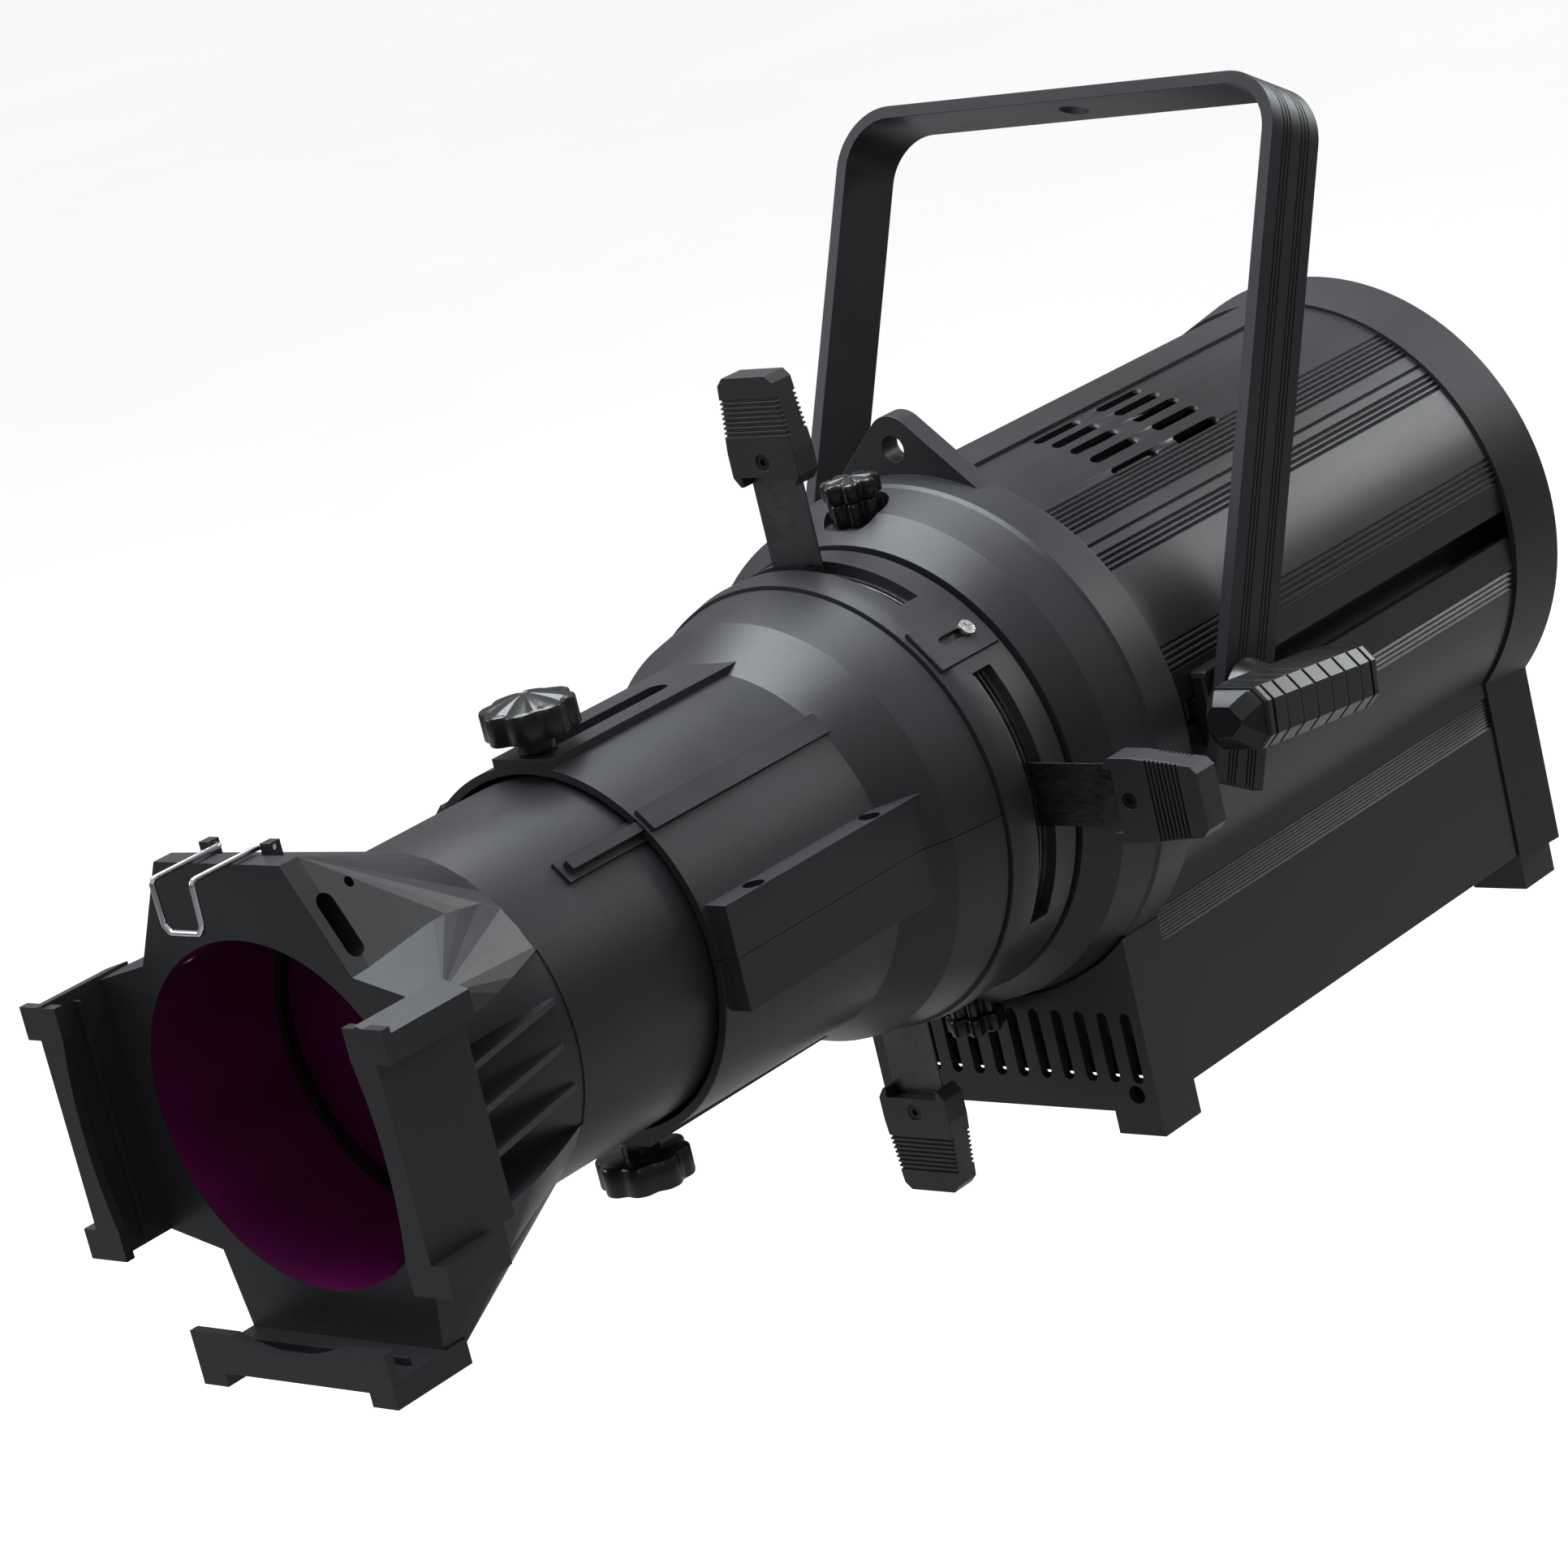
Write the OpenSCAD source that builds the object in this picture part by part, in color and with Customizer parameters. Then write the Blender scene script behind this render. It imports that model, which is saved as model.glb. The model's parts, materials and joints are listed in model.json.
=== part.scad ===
// Ellipsoidal spotlight with an LED engine, a zoomable lens tube and a hanging yoke.
// The design is drawn about the optical axis: the beam leaves towards -Y, the front
// edge of the accessory holder is y = 0 and the axis runs through x = 0, z = 0.
// placed() then moves it so that the origin is the clamp hole on top of the yoke.

/* [Lens tube] */
// Outer radius of the lens tube
tube_r = 70.5; // [66:0.5:73]
// Wall of the lens tube
tube_wall = 2.5; // [2:0.1:4]
// How far the lens tube slides into the barrel
focus_travel = 68; // [30:1:68]
// Rear end of the lens tube, from the holder's front edge
tube_back = 252; // [230:1:256]
// Thickness of the front and the rear lens at the middle
lens_thick = 16; // [10:1:20]

/* [Accessory holder] */
// Clear width between the holder's side arms, for a 159 mm colour frame
frame_slot_w = 164; // [160:0.5:168]
// Wall of the holder's side arms
arm_wall = 6; // [3:0.5:7]
// Depth of the two frame slots together
slot_depth = 28; // [20:1:30]
// Thickness of the retaining lips
lip_thick = 4; // [3:0.5:6]
// Length of the flare from the front plate back to the tube
flare_len = 80; // [60:1:80]

/* [Barrel] */
// Front edge of the barrel, from the holder's front edge
barrel_front = 182; // [182:1:190]
// Radial gap between the lens tube and the barrel
tube_gap = 2; // [1.5:0.1:2.5]
// Wall of the barrel
barrel_wall = 3.5; // [3:0.1:4]
// Outer radius of the barrel's bulge at the gate
bulge_r = 93; // [92.5:0.5:95]
// How far the barrel turns each way from rest
barrel_turn = 25; // [5:1:25]

/* [Gate] */
// Outer radius of the gate ring
gate_r = 96; // [95:0.5:98]
// Wall of the gate ring
gate_wall = 5; // [4:0.5:6]
// Radius of the round gate aperture
aperture_r = 36; // [25:1:38]
// Thickness of a shutter blade
blade_thick = 1; // [0.6:0.1:1.2]
// Distance from one shutter layer to the next
shutter_pitch = 2.5; // [2.3:0.1:2.6]
// Length of a shutter grip
grip_len = 45; // [35:1:50]
// Width of a shutter grip at its inner end
grip_w = 35; // [30:1:40]
// Thickness of a shutter grip
grip_thick = 12; // [8:1:13]
// How far a shutter slides in
shutter_travel = 32; // [10:1:32]

/* [Housing] */
// Radius of the housing's round body
housing_r = 104; // [103.5:0.5:105.5]
// Wall of the housing
housing_wall = 3.5; // [2.5:0.1:4]
// Half width of the housing's lower box
skirt_half_w = 74; // [70:1:78]
// Depth of the lower box below the optical axis
skirt_drop = 155; // [150:1:160]
// Length of the housing extrusion
housing_len = 253; // [240:1:280]
// Height of the feet
foot_h = 12; // [6:1:16]
// Radius of the collar behind the gate
collar_r = 111; // [109:0.5:111]
// Radius of the hole in the safety lug
lug_hole_r = 5.5; // [4:0.5:7]

/* [Yoke] */
// Outer half width of the yoke
yoke_half_w = 117; // [117:0.5:125]
// Thickness of the yoke's flat bar
yoke_thick = 5.5; // [4:0.5:5.5]
// Width of the yoke's flat bar
yoke_bar_w = 32; // [25:1:38]
// Pivot to the outer face of the crossbar
yoke_len = 255; // [245:1:300]
// Lean of the yoke towards the rear of the head
yoke_lean = 28; // [10:1:40]
// Radius of the clamp hole
clamp_hole_r = 6.5; // [5:0.25:8]
// Radius of the pivot studs
stud_r = 5; // [4:0.25:6]
// Radial running clearance of shafts in their bores
run_clear = 0.05; // [0.02:0.01:0.1]
// How far the head slides along the yoke's blocks
balance_travel = 120; // [40:1:150]

/* [Hidden] */
$fn = 96;

// Stations along the optical axis
plate_y = slot_depth;
flare_y = plate_y + flare_len;
gate_y = 334.5;
gate_len = 39;
gate_back = gate_y + gate_len;
ring_gap = 3;
collar_y = gate_back + ring_gap;
collar_len = 57.5;
housing_y = collar_y + collar_len;
housing_back = housing_y + housing_len;
cap_y = housing_back;
cap_len = 28;
cap_back = cap_y + cap_len;
panel_y = housing_y - 25;
panel_drop = skirt_drop + 3;
rear_foot_drop = 3;

// Fits
flat_gap = 0.3;
fit_gap = 0.1;
tube_bore_r = tube_r - tube_wall;
barrel_bore_r = tube_r + tube_gap;
barrel_r = barrel_bore_r + barrel_wall;
sleeve_r = gate_r - 3;
collar_flange = 24;
retainer_y = collar_y + collar_flange + flat_gap;
retainer_thick = 3;
sleeve_back = retainer_y + retainer_thick;

// Guide ribs of the lens tube and their channels in the barrel
guide_angle = 45;
guide_w = 10;
guide_foot_h = 1.5;
guide_ridge_w = 4.5;
guide_ridge_h = 4.5;
guide_front = 140;
guide_clear = 0.5;
channel_wall = 2.5;

// Focus knobs
knob_y = 192;
focus_knob_r = 19;
focus_knob_h = 16;
focus_stud_r = 4;
pad_half_w = 15.5;
pad_top = barrel_r + 2.5;
knob_neck_r = 7.5;
focus_knob_z = pad_top + 7;
slot_clear = 0.6;

// Barrel flanges and their screws
flange_x = barrel_r + 7;
flange_h = 21;
flange_front = barrel_front + 3;
flange_back = gate_y - 3;
flange_screw_y = [barrel_front + 25, gate_y - 58];
flange_screw_x = flange_x - 5;
flange_bore_h = 8;
flange_screw_r = 2;

// Gate parts
shutter_y = 354.75;
ring_slot_half = 33;
gate_bore_r = gate_r - gate_wall;
blade_in_half_w = 33;
blade_in_back = 78;
blade_neck_half_w = 13;
grip_in = 131;
pocket_depth = 16;

// Collar
collar_front_r = gate_r + 2;
collar_step_y = collar_y + 14.5;
collar_step_r = collar_r - 4.5;
lug_h = 25;
lug_half_w = 46;
lug_thick = 10;
lug_round_r = 12;
lock_y = collar_y + 17.5;
lock_seat_z = 101;
lock_knob_r = 12.5;
lock_stud_r = 3;
lock_stud_gap = 0.2;

// Housing slots for the pivot blocks
flat_x = housing_r - 2;
mouth_half = 6;
lip_depth = 4;
chan_half = 11;
chan_depth = 11;
chan_wall = 3;

// Yoke pivot
pivot_y = 467;
nut_gap = 0.5;
boss_half = 16;
washer_r = 15;
washer_thick = 1;
leg_in = yoke_half_w - yoke_thick;
boss_x = leg_in - washer_thick - 0.1;
leg_below = 36;
bend_r = 26;
yoke_grooves = [-8, -5.7, -3.4, 4.3, 6.6, 8.9];
clamp_y = pivot_y + yoke_len * sin(yoke_lean);
clamp_z = yoke_len * cos(yoke_lean);

function shutter_plane(layer) = shutter_y + (layer - 1.5) * shutter_pitch;

// ---------- helpers ----------
module placed() {
    translate([0, -clamp_y, -clamp_z]) children();
}

// An outline drawn in x and z, extruded from y0 to y1
module along_y(y0, y1) {
    translate([0, y1, 0]) rotate([90, 0, 0]) linear_extrude(y1 - y0) children();
}

module rod_y(y0, y1, r) {
    translate([0, y0, 0]) rotate([-90, 0, 0]) cylinder(h = y1 - y0, r = r);
}

module cone_y(y0, y1, r0, r1) {
    translate([0, y0, 0]) rotate([-90, 0, 0]) cylinder(h = y1 - y0, r1 = r0, r2 = r1);
}

module rod_x(x0, x1, r) {
    translate([x0, 0, 0]) rotate([0, 90, 0]) cylinder(h = x1 - x0, r = r);
}

module ring_y(y0, y1, r_out, r_in) {
    difference() {
        rod_y(y0, y1, r_out);
        rod_y(y0 - 1, y1 + 1, r_in);
    }
}

// A profile of radius and y, turned about the optical axis
module turned_y() {
    rotate([-90, 0, 0]) rotate_extrude() children();
}

module box(x0, x1, y0, y1, z0, z1) {
    translate([x0, y0, z0]) cube([x1 - x0, y1 - y0, z1 - z0]);
}

// The same thing on the left and on the right
module both_sides() {
    children();
    mirror([1, 0, 0]) children();
}

// A piece drawn at the top of the axis, turned to another side
module at_angle(a) {
    rotate([0, 90 - a, 0]) children();
}

// A round-ended slot cut downwards at the top of the axis, long in y
module long_slot(y_mid, len, w, z0, z1) {
    for (s = [-1, 1])
        translate([0, y_mid + s * (len - w) / 2, z0]) cylinder(h = z1 - z0, d = w, $fn = 32);
    box(-w / 2, w / 2, y_mid - (len - w) / 2, y_mid + (len - w) / 2, z0, z1);
}

// A lobed knob head standing on z = 0
module lobed_head(r, h, lobes, dent) {
    linear_extrude(h) difference() {
        circle(r);
        for (i = [0 : lobes - 1])
            rotate(360 * (i + 0.5) / lobes) translate([r + dent * 0.55, 0]) circle(dent, $fn = 32);
    }
}

// ---------- lens tube ----------
arm_x_in = frame_slot_w / 2;
arm_x_out = arm_x_in + arm_wall;
tab_x_out = arm_x_out + 7;
lip_x_in = arm_x_in - 6.5;
lip_arc_r = 182;
lip_hollow = 4;
arm_bottom = 86.5;
arm_bottom_out = 91;
arm_back = plate_y + 15;
tab_z0 = 38;
tab_z1 = 50;
ridge_y = plate_y / 2;
ridge_thick = 1.5;
top_half_w = 33;
top_z = 97;
waist_half_w = 55;
waist_z = 56;
foot_half_w = 49;
pocket_half_h = 34;
side_rib_pitch = 16.5;
side_rib_thick = 2.5;
facet_slot_r = 4;
flare_slab = 9;
bottom_arm_back = plate_y + 10;
tab_slope = 2.5;
clip_y = 41;
clip_z = 98.8;
wire_r = 1.2;
clip_half_w = 10.5;
clip_front_y = 7;
clip_drop = 19.5;

module flare_part(outline) {
    hull() {
        along_y(plate_y, plate_y + flare_slab) polygon(outline);
        translate([0, flare_y - 1, 0]) rotate([-90, 0, 0]) cylinder(h = 1, r = tube_r, $fn = 48);
    }
}

module holder_flare() {
    flare_part([[-top_half_w, top_z], [top_half_w, top_z],
                [waist_half_w, waist_z], [-waist_half_w, waist_z]]);
    flare_part([[-waist_half_w, waist_z], [waist_half_w, waist_z],
                [arm_x_out, tab_z1 - 2], [arm_x_out, 2 - tab_z1],
                [waist_half_w, -waist_z], [-waist_half_w, -waist_z],
                [-arm_x_out, 2 - tab_z1], [-arm_x_out, tab_z1 - 2]]);
    flare_part([[-waist_half_w, -waist_z], [waist_half_w, -waist_z],
                [foot_half_w, -arm_bottom_out], [-foot_half_w, -arm_bottom_out]]);
}

module side_pocket() {
    difference() {
        box(tube_r - 10, arm_x_out + 5, arm_back, flare_y + 1, -pocket_half_h, pocket_half_h);
        rod_y(arm_back - 1, flare_y + 2, tube_r - 0.5);
        for (z = [-side_rib_pitch, 0, side_rib_pitch])
            translate([0, 0, z - side_rib_thick / 2]) linear_extrude(side_rib_thick)
                polygon([[tube_r - 12, arm_back - 1], [arm_x_out - 3, arm_back - 1],
                         [arm_x_out - 3, arm_back + 1], [tube_r - 1, flare_y - 4],
                         [tube_r - 12, flare_y - 4]]);
    }
}

module top_facet_holes() {
    translate([46, plate_y + 8.5, 72]) rotate([0, 62, 0]) {
        for (u = [-9, 9])
            translate([u, 0, -14]) cylinder(h = 28, r = facet_slot_r, $fn = 32);
        box(-9, 9, -facet_slot_r, facet_slot_r, -14, 14);
    }
    translate([37, plate_y + 23, 79]) rotate([0, 40, 0])
        translate([0, 0, -8]) cylinder(h = 24, r = 2, $fn = 32);
}

module side_arm() {
    box(arm_x_in, arm_x_out, 0, arm_back, -tab_z0, tab_z0);
    along_y(0, arm_back) polygon([[arm_x_in, tab_z0 - 1], [tab_x_out, tab_z0 - 1],
                                  [tab_x_out, tab_z1 - tab_slope], [arm_x_in, tab_z1 + 1]]);
    box(arm_x_in, tab_x_out, 0, plate_y + 2, -tab_z1, -tab_z0);
    box(arm_x_in - 3, arm_x_in + 1, ridge_y, ridge_y + ridge_thick, 3 - tab_z1, tab_z1 - 3);
    along_y(0, lip_thick) difference() {
        translate([lip_x_in, -tab_z0]) square([arm_x_out - lip_x_in, 2 * tab_z0]);
        translate([lip_x_in + lip_hollow - lip_arc_r, 0]) circle(lip_arc_r, $fn = 128);
    }
    for (z = [-tab_z1, tab_z0])
        box(lip_x_in, tab_x_out, 0, lip_thick, z, z + tab_z1 - tab_z0);
}

module bottom_arm() {
    box(-foot_half_w, foot_half_w, 0, bottom_arm_back, -arm_bottom_out, -arm_bottom);
    for (s = [-1, 1])
        translate([s * (foot_half_w - 4.5), 0, 0]) {
            box(-6.5, 6.5, 0, bottom_arm_back + 0.5, -arm_bottom_out - 5.5, -arm_bottom);
            box(-6.5, 6.5, 0, lip_thick, -arm_bottom_out - 5.5, -75);
        }
    along_y(0, lip_thick) difference() {
        translate([-foot_half_w, -arm_bottom_out]) square([2 * foot_half_w, arm_bottom_out - 75]);
        translate([0, -13.2]) circle(67.8);
    }
    box(3 - foot_half_w, foot_half_w - 3, ridge_y, ridge_y + ridge_thick, -arm_bottom - 1, 3 - arm_bottom);
}

module guide_ribs() {
    for (a = [guide_angle, 180 - guide_angle])
        at_angle(a) {
            box(-guide_w / 2, guide_w / 2, guide_front, tube_back - 6, tube_r - 1, tube_r + guide_foot_h);
            box(-guide_ridge_w / 2, guide_ridge_w / 2, guide_front + 3, tube_back - 6,
                tube_r - 1, tube_r + guide_ridge_h);
        }
}

module focus_boss(r, z0, z1) {
    for (a = [90, -90])
        at_angle(a) translate([0, knob_y, z0]) cylinder(h = z1 - z0, r = r);
}

module clip_lug() {
    difference() {
        box(clip_half_w + 3, clip_half_w + 8, clip_y - 2.7, clip_y + 2.7, 84, clip_z + 2);
        translate([0, clip_y, clip_z]) rod_x(0, 40, wire_r + run_clear);
    }
}

module lens_tube() {
    color("dimgray") placed() {
        difference() {
            union() {
                rod_y(plate_y + 1, tube_back, tube_r);
                holder_flare();
                guide_ribs();
                focus_boss(9, tube_bore_r - 5, tube_r);
            }
            rod_y(plate_y - 1, front_lens_y, tube_bore_r);
            rod_y(front_lens_y - 1, rear_lens_y + 1, tube_bore_r - lens_step);
            rod_y(rear_lens_y, tube_back + 1, tube_bore_r);
            focus_boss(focus_stud_r + run_clear, tube_bore_r - 8, tube_r + 2);
            both_sides() side_pocket();
            both_sides() top_facet_holes();
        }
        both_sides() side_arm();
        bottom_arm();
        both_sides() clip_lug();
    }
}

lens_step = 1.5;
front_lens_y = 100;
rear_lens_y = tube_back - 22;
lens_r = tube_bore_r - 0.2;
lens_rim = 3;
dome_r = lens_r - 3;
retainer_in_r = dome_r + 0.4;
retainer_len = 5;

// A lens bulging towards -Y from its flat back at y1
module lens(y1) {
    h = lens_thick - lens_rim;
    sphere_r = (dome_r * dome_r + h * h) / (2 * h);
    half_angle = asin(dome_r / sphere_r);
    dome = [for (i = [0 : 12]) [sphere_r * sin(i * half_angle / 12),
                                y1 - lens_thick + sphere_r * (1 - cos(i * half_angle / 12))]];
    turned_y() polygon(concat(dome, [[lens_r, y1 - lens_rim], [lens_r, y1], [0, y1]]));
}

module front_lens() {
    color([0.75, 0.4, 0.7, 0.5]) placed() lens(front_lens_y);
}

module rear_lens() {
    color([0.75, 0.6, 0.75, 0.5]) placed() lens(rear_lens_y + lens_rim);
}

module lens_retainers() {
    color("black") placed() {
        ring_y(front_lens_y - lens_rim - retainer_len, front_lens_y - lens_rim,
               tube_bore_r - fit_gap, retainer_in_r);
        ring_y(rear_lens_y + lens_rim, rear_lens_y + lens_rim + retainer_len,
               tube_bore_r - fit_gap, retainer_in_r);
    }
}

module wire(p, q) {
    d = q - p;
    len = norm(d);
    translate(p) rotate([0, acos(d[2] / len), atan2(d[1], d[0])]) cylinder(h = len, r = wire_r, $fn = 24);
    translate(q) sphere(wire_r + 0.08, $fn = 24);
}

module frame_clip() {
    low_z = clip_z - clip_drop;
    color("silver") placed() {
        both_sides() {
            translate([0, clip_y, clip_z]) rod_x(clip_half_w, clip_half_w + 7.5, wire_r);
            wire([clip_half_w, clip_front_y, clip_z], [clip_half_w, clip_y, clip_z]);
            wire([clip_half_w - 0.5, clip_front_y, low_z + 3], [clip_half_w, clip_front_y, clip_z]);
            wire([clip_half_w - 3, clip_front_y, low_z], [clip_half_w - 0.5, clip_front_y, low_z + 3]);
            wire([0, clip_front_y, low_z], [clip_half_w - 3, clip_front_y, low_z]);
        }
    }
}

module focus_knob(a) {
    color("dimgray") placed() at_angle(a) translate([0, knob_y, 0]) {
        translate([0, 0, tube_bore_r - 3]) cylinder(h = focus_knob_z - tube_bore_r + 4, r = focus_stud_r);
        translate([0, 0, pad_top + slot_clear]) cylinder(h = focus_knob_z - pad_top, r = knob_neck_r);
        translate([0, 0, focus_knob_z]) lobed_head(focus_knob_r, focus_knob_h - 3, 9, 4.5);
        translate([0, 0, focus_knob_z + focus_knob_h - 3]) intersection() {
            cylinder(h = 3, r1 = focus_knob_r, r2 = 3);
            lobed_head(focus_knob_r, 3, 9, 4.5);
        }
    }
}

module top_focus_knob() { focus_knob(90); }

module bottom_focus_knob() { focus_knob(-90); }

// ---------- barrel ----------
bulge_y0 = gate_y - 50;
bulge_y1 = gate_y - 27;
bulge_side_r = bulge_r - 4.5;

module barrel_hollow() {
    turned_y() polygon([
        [0, barrel_front - 1], [barrel_bore_r, barrel_front - 1], [barrel_bore_r, bulge_y0],
        [bulge_side_r - barrel_wall, bulge_y1], [bulge_r - barrel_wall, gate_y + 1], [0, gate_y + 1]
    ]);
}

module barrel_solid() {
    turned_y() polygon([
        [0, barrel_front], [barrel_r, barrel_front], [barrel_r + 0.8, bulge_y0],
        [bulge_side_r, bulge_y1], [bulge_r, gate_y - 1], [bulge_r - 0.5, gate_y], [0, gate_y]
    ]);
}

channel_out = tube_r + guide_ridge_h + guide_clear;
channel_back = bulge_y1 - 2;

module guide_channels(grow) {
    for (a = [guide_angle, 180 - guide_angle])
        at_angle(a) {
            half = guide_ridge_w / 2 + guide_clear + grow;
            box(-half, half, barrel_front + (grow > 0 ? 1.5 : -1), channel_back + grow, tube_r - 2,
                channel_out + grow);
        }
}

module screw_flanges() {
    both_sides() box(barrel_r - 8, flange_x, flange_front, flange_back, -flange_h, flange_h);
}

module flange_screw_holes() {
    both_sides()
        for (y = flange_screw_y)
            translate([flange_screw_x, y, 0]) {
                translate([0, 0, -flange_h - 1]) cylinder(h = 2 * flange_h + 2, r = flange_screw_r + fit_gap);
                translate([0, 0, flange_h - flange_bore_h]) cylinder(h = 20, r = flange_screw_r * 2 + 0.3);
            }
}

module barrel_shell() {
    difference() {
        union() {
            barrel_solid();
            guide_channels(channel_wall);
            screw_flanges();
            for (a = [90, -90])
                at_angle(a) box(-pad_half_w, pad_half_w, barrel_front, bulge_y1 - 5, barrel_r - 8, pad_top);
        }
        barrel_hollow();
        guide_channels(0);
        flange_screw_holes();
        for (a = [90, -90])
            at_angle(a) {
                w = 2 * (focus_stud_r + slot_clear);
                long_slot(knob_y + focus_travel / 2, focus_travel + w, w, tube_r - 5, pad_top + 5);
            }
    }
}

module half_space(s) {
    big = 400;
    translate([-big / 2, 0, s > 0 ? flat_gap / 2 : -flat_gap / 2 - big]) cube([big, big, big]);
}

module barrel_upper() {
    color("dimgray") placed() intersection() {
        barrel_shell();
        half_space(1);
    }
}

module barrel_lower() {
    color("dimgray") placed() intersection() {
        barrel_shell();
        half_space(-1);
    }
}

// A socket-head screw with its head up, standing in a hole; z = 0 is under the head
module cap_screw(r, len) {
    translate([0, 0, -len]) cylinder(h = len + 0.1, r = r, $fn = 32);
    difference() {
        cylinder(h = r * 1.8, r = r * 1.9, $fn = 32);
        translate([0, 0, r * 0.8]) cylinder(h = r * 2, r = r, $fn = 6);
    }
}

module barrel_screws() {
    color("gray") placed() both_sides()
        for (y = flange_screw_y)
            translate([flange_screw_x, y, flange_h - flange_bore_h]) cap_screw(flange_screw_r, 2 * flange_h - 12);
}

// ---------- gate ----------
module gate_ring() {
    color("dimgray") placed() difference() {
        union() {
            cone_y(gate_y, gate_y + 8, gate_r - 1.5, gate_r);
            rod_y(gate_y + 8, gate_back, gate_r);
            rod_y(gate_back - 1, collar_y - flat_gap, sleeve_r + 1);
            rod_y(gate_back - 1, sleeve_back, sleeve_r);
        }
        rod_y(gate_y - 1, sleeve_back + 1, gate_bore_r - 2);
        rod_y(gate_y - 1, stack_back, gate_bore_r);
        for (a = [0, 90, 180, 270])
            rotate([0, -a, 0]) blade_window();
        at_angle(cover_angle) {
            translate([0, cover_screw_y, gate_bore_r - 5]) cylinder(h = 30, r = cover_screw_r + fit_gap);
            box(-cover_half_w - cover_gap, cover_half_w + cover_gap, gate_y + 2 - cover_gap,
                gate_back - 1 + cover_gap, cover_z, gate_r + 5);
        }
    }
}

cover_angle = 43;
cover_half_w = 10.5;
cover_z = gate_r - 1.5;
cover_gap = 0.3;
cover_thick = 2;
cover_screw_y = gate_y + 28;
cover_screw_r = 1.6;
stack_back = gate_back - 6;
stack_gap = (shutter_pitch - blade_thick) / 4;
plate_thick = 1.5;
window_y0 = shutter_plane(0) - 2;
window_y1 = shutter_plane(3) + 2;

// The window in the ring for one shutter, about +X
module blade_window() {
    reach = gate_r + 10;
    translate([0, window_y1, 0]) rotate([90, 0, 0]) linear_extrude(window_y1 - window_y0)
        polygon([[50 * cos(ring_slot_half), 50 * sin(ring_slot_half)],
                 [reach * cos(ring_slot_half), reach * sin(ring_slot_half)], [reach * 1.2, 0],
                 [reach * cos(ring_slot_half), -reach * sin(ring_slot_half)],
                 [50 * cos(ring_slot_half), -50 * sin(ring_slot_half)]]);
}

module slot_cover() {
    color("gray") placed() at_angle(cover_angle) difference() {
        box(-cover_half_w, cover_half_w, gate_y + 2, gate_back - 1, cover_z, cover_z + cover_thick);
        long_slot(cover_screw_y - 7, 18, 4, cover_z - 1, cover_z + 5);
    }
}

module slot_cover_screw() {
    shank = cover_z + cover_thick - gate_bore_r - flat_gap;
    color("silver") placed() at_angle(cover_angle)
        translate([0, cover_screw_y, cover_z + cover_thick]) {
            translate([0, 0, -shank]) cylinder(h = shank + 0.1, r = cover_screw_r, $fn = 32);
            difference() {
                cylinder(h = 1.8, r = 3.4, $fn = 32);
                for (t = [0, 90]) rotate(t) box(-2, 2, -0.4, 0.4, 0.8, 3);
            }
        }
}

module barrel_retainer() {
    color("gray") placed()
        ring_y(retainer_y, sleeve_back, sleeve_r + 4, sleeve_r);
}

module aperture_plate() {
    y1 = shutter_plane(0) - blade_thick / 2 - fit_gap;
    color("silver") placed() ring_y(y1 - plate_thick, y1, gate_bore_r - fit_gap, aperture_r);
}

module shutter_spacers() {
    edge = blade_thick / 2 + stack_gap;
    spacer_r = gate_bore_r - fit_gap;
    color("silver") placed() {
        ring_y(gate_y, shutter_plane(0) - blade_thick / 2 - fit_gap - plate_thick, spacer_r, spacer_r - 5);
        for (i = [0 : 2])
            ring_y(shutter_plane(i) + edge, shutter_plane(i + 1) - edge, spacer_r, aperture_r + 10);
        ring_y(shutter_plane(3) + edge, stack_back, spacer_r, spacer_r - 5);
    }
}

// ---------- shutters, drawn at the top and turned to their side ----------
ANGLES = [-90, 90, 0, 180];
PUSHED_IN = [5, 0, -2, 0];

module shutter_at(i) {
    placed() at_angle(ANGLES[i]) translate([0, shutter_plane(i), -PUSHED_IN[i]]) children();
}

module shutter_blade(i) {
    color("black") shutter_at(i) along_y(-blade_thick / 2, blade_thick / 2) {
        difference() {
            union() {
                polygon([[-blade_in_half_w, aperture_r + 1], [blade_in_half_w, aperture_r + 1],
                         [blade_in_half_w, blade_in_back], [blade_neck_half_w, blade_in_back + 6],
                         [-blade_neck_half_w, blade_in_back + 6], [-blade_in_half_w, blade_in_back]]);
                translate([-blade_neck_half_w, blade_in_back])
                    square([2 * blade_neck_half_w, grip_in + pocket_depth - blade_in_back]);
            }
            translate([0, grip_in + grip_screw_in]) circle(grip_screw_r + 0.2);
        }
    }
}

grip_notch = 4;
groove_depth = 1.3;
grip_screw_in = 10;
grip_screw_r = 1.6;

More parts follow.
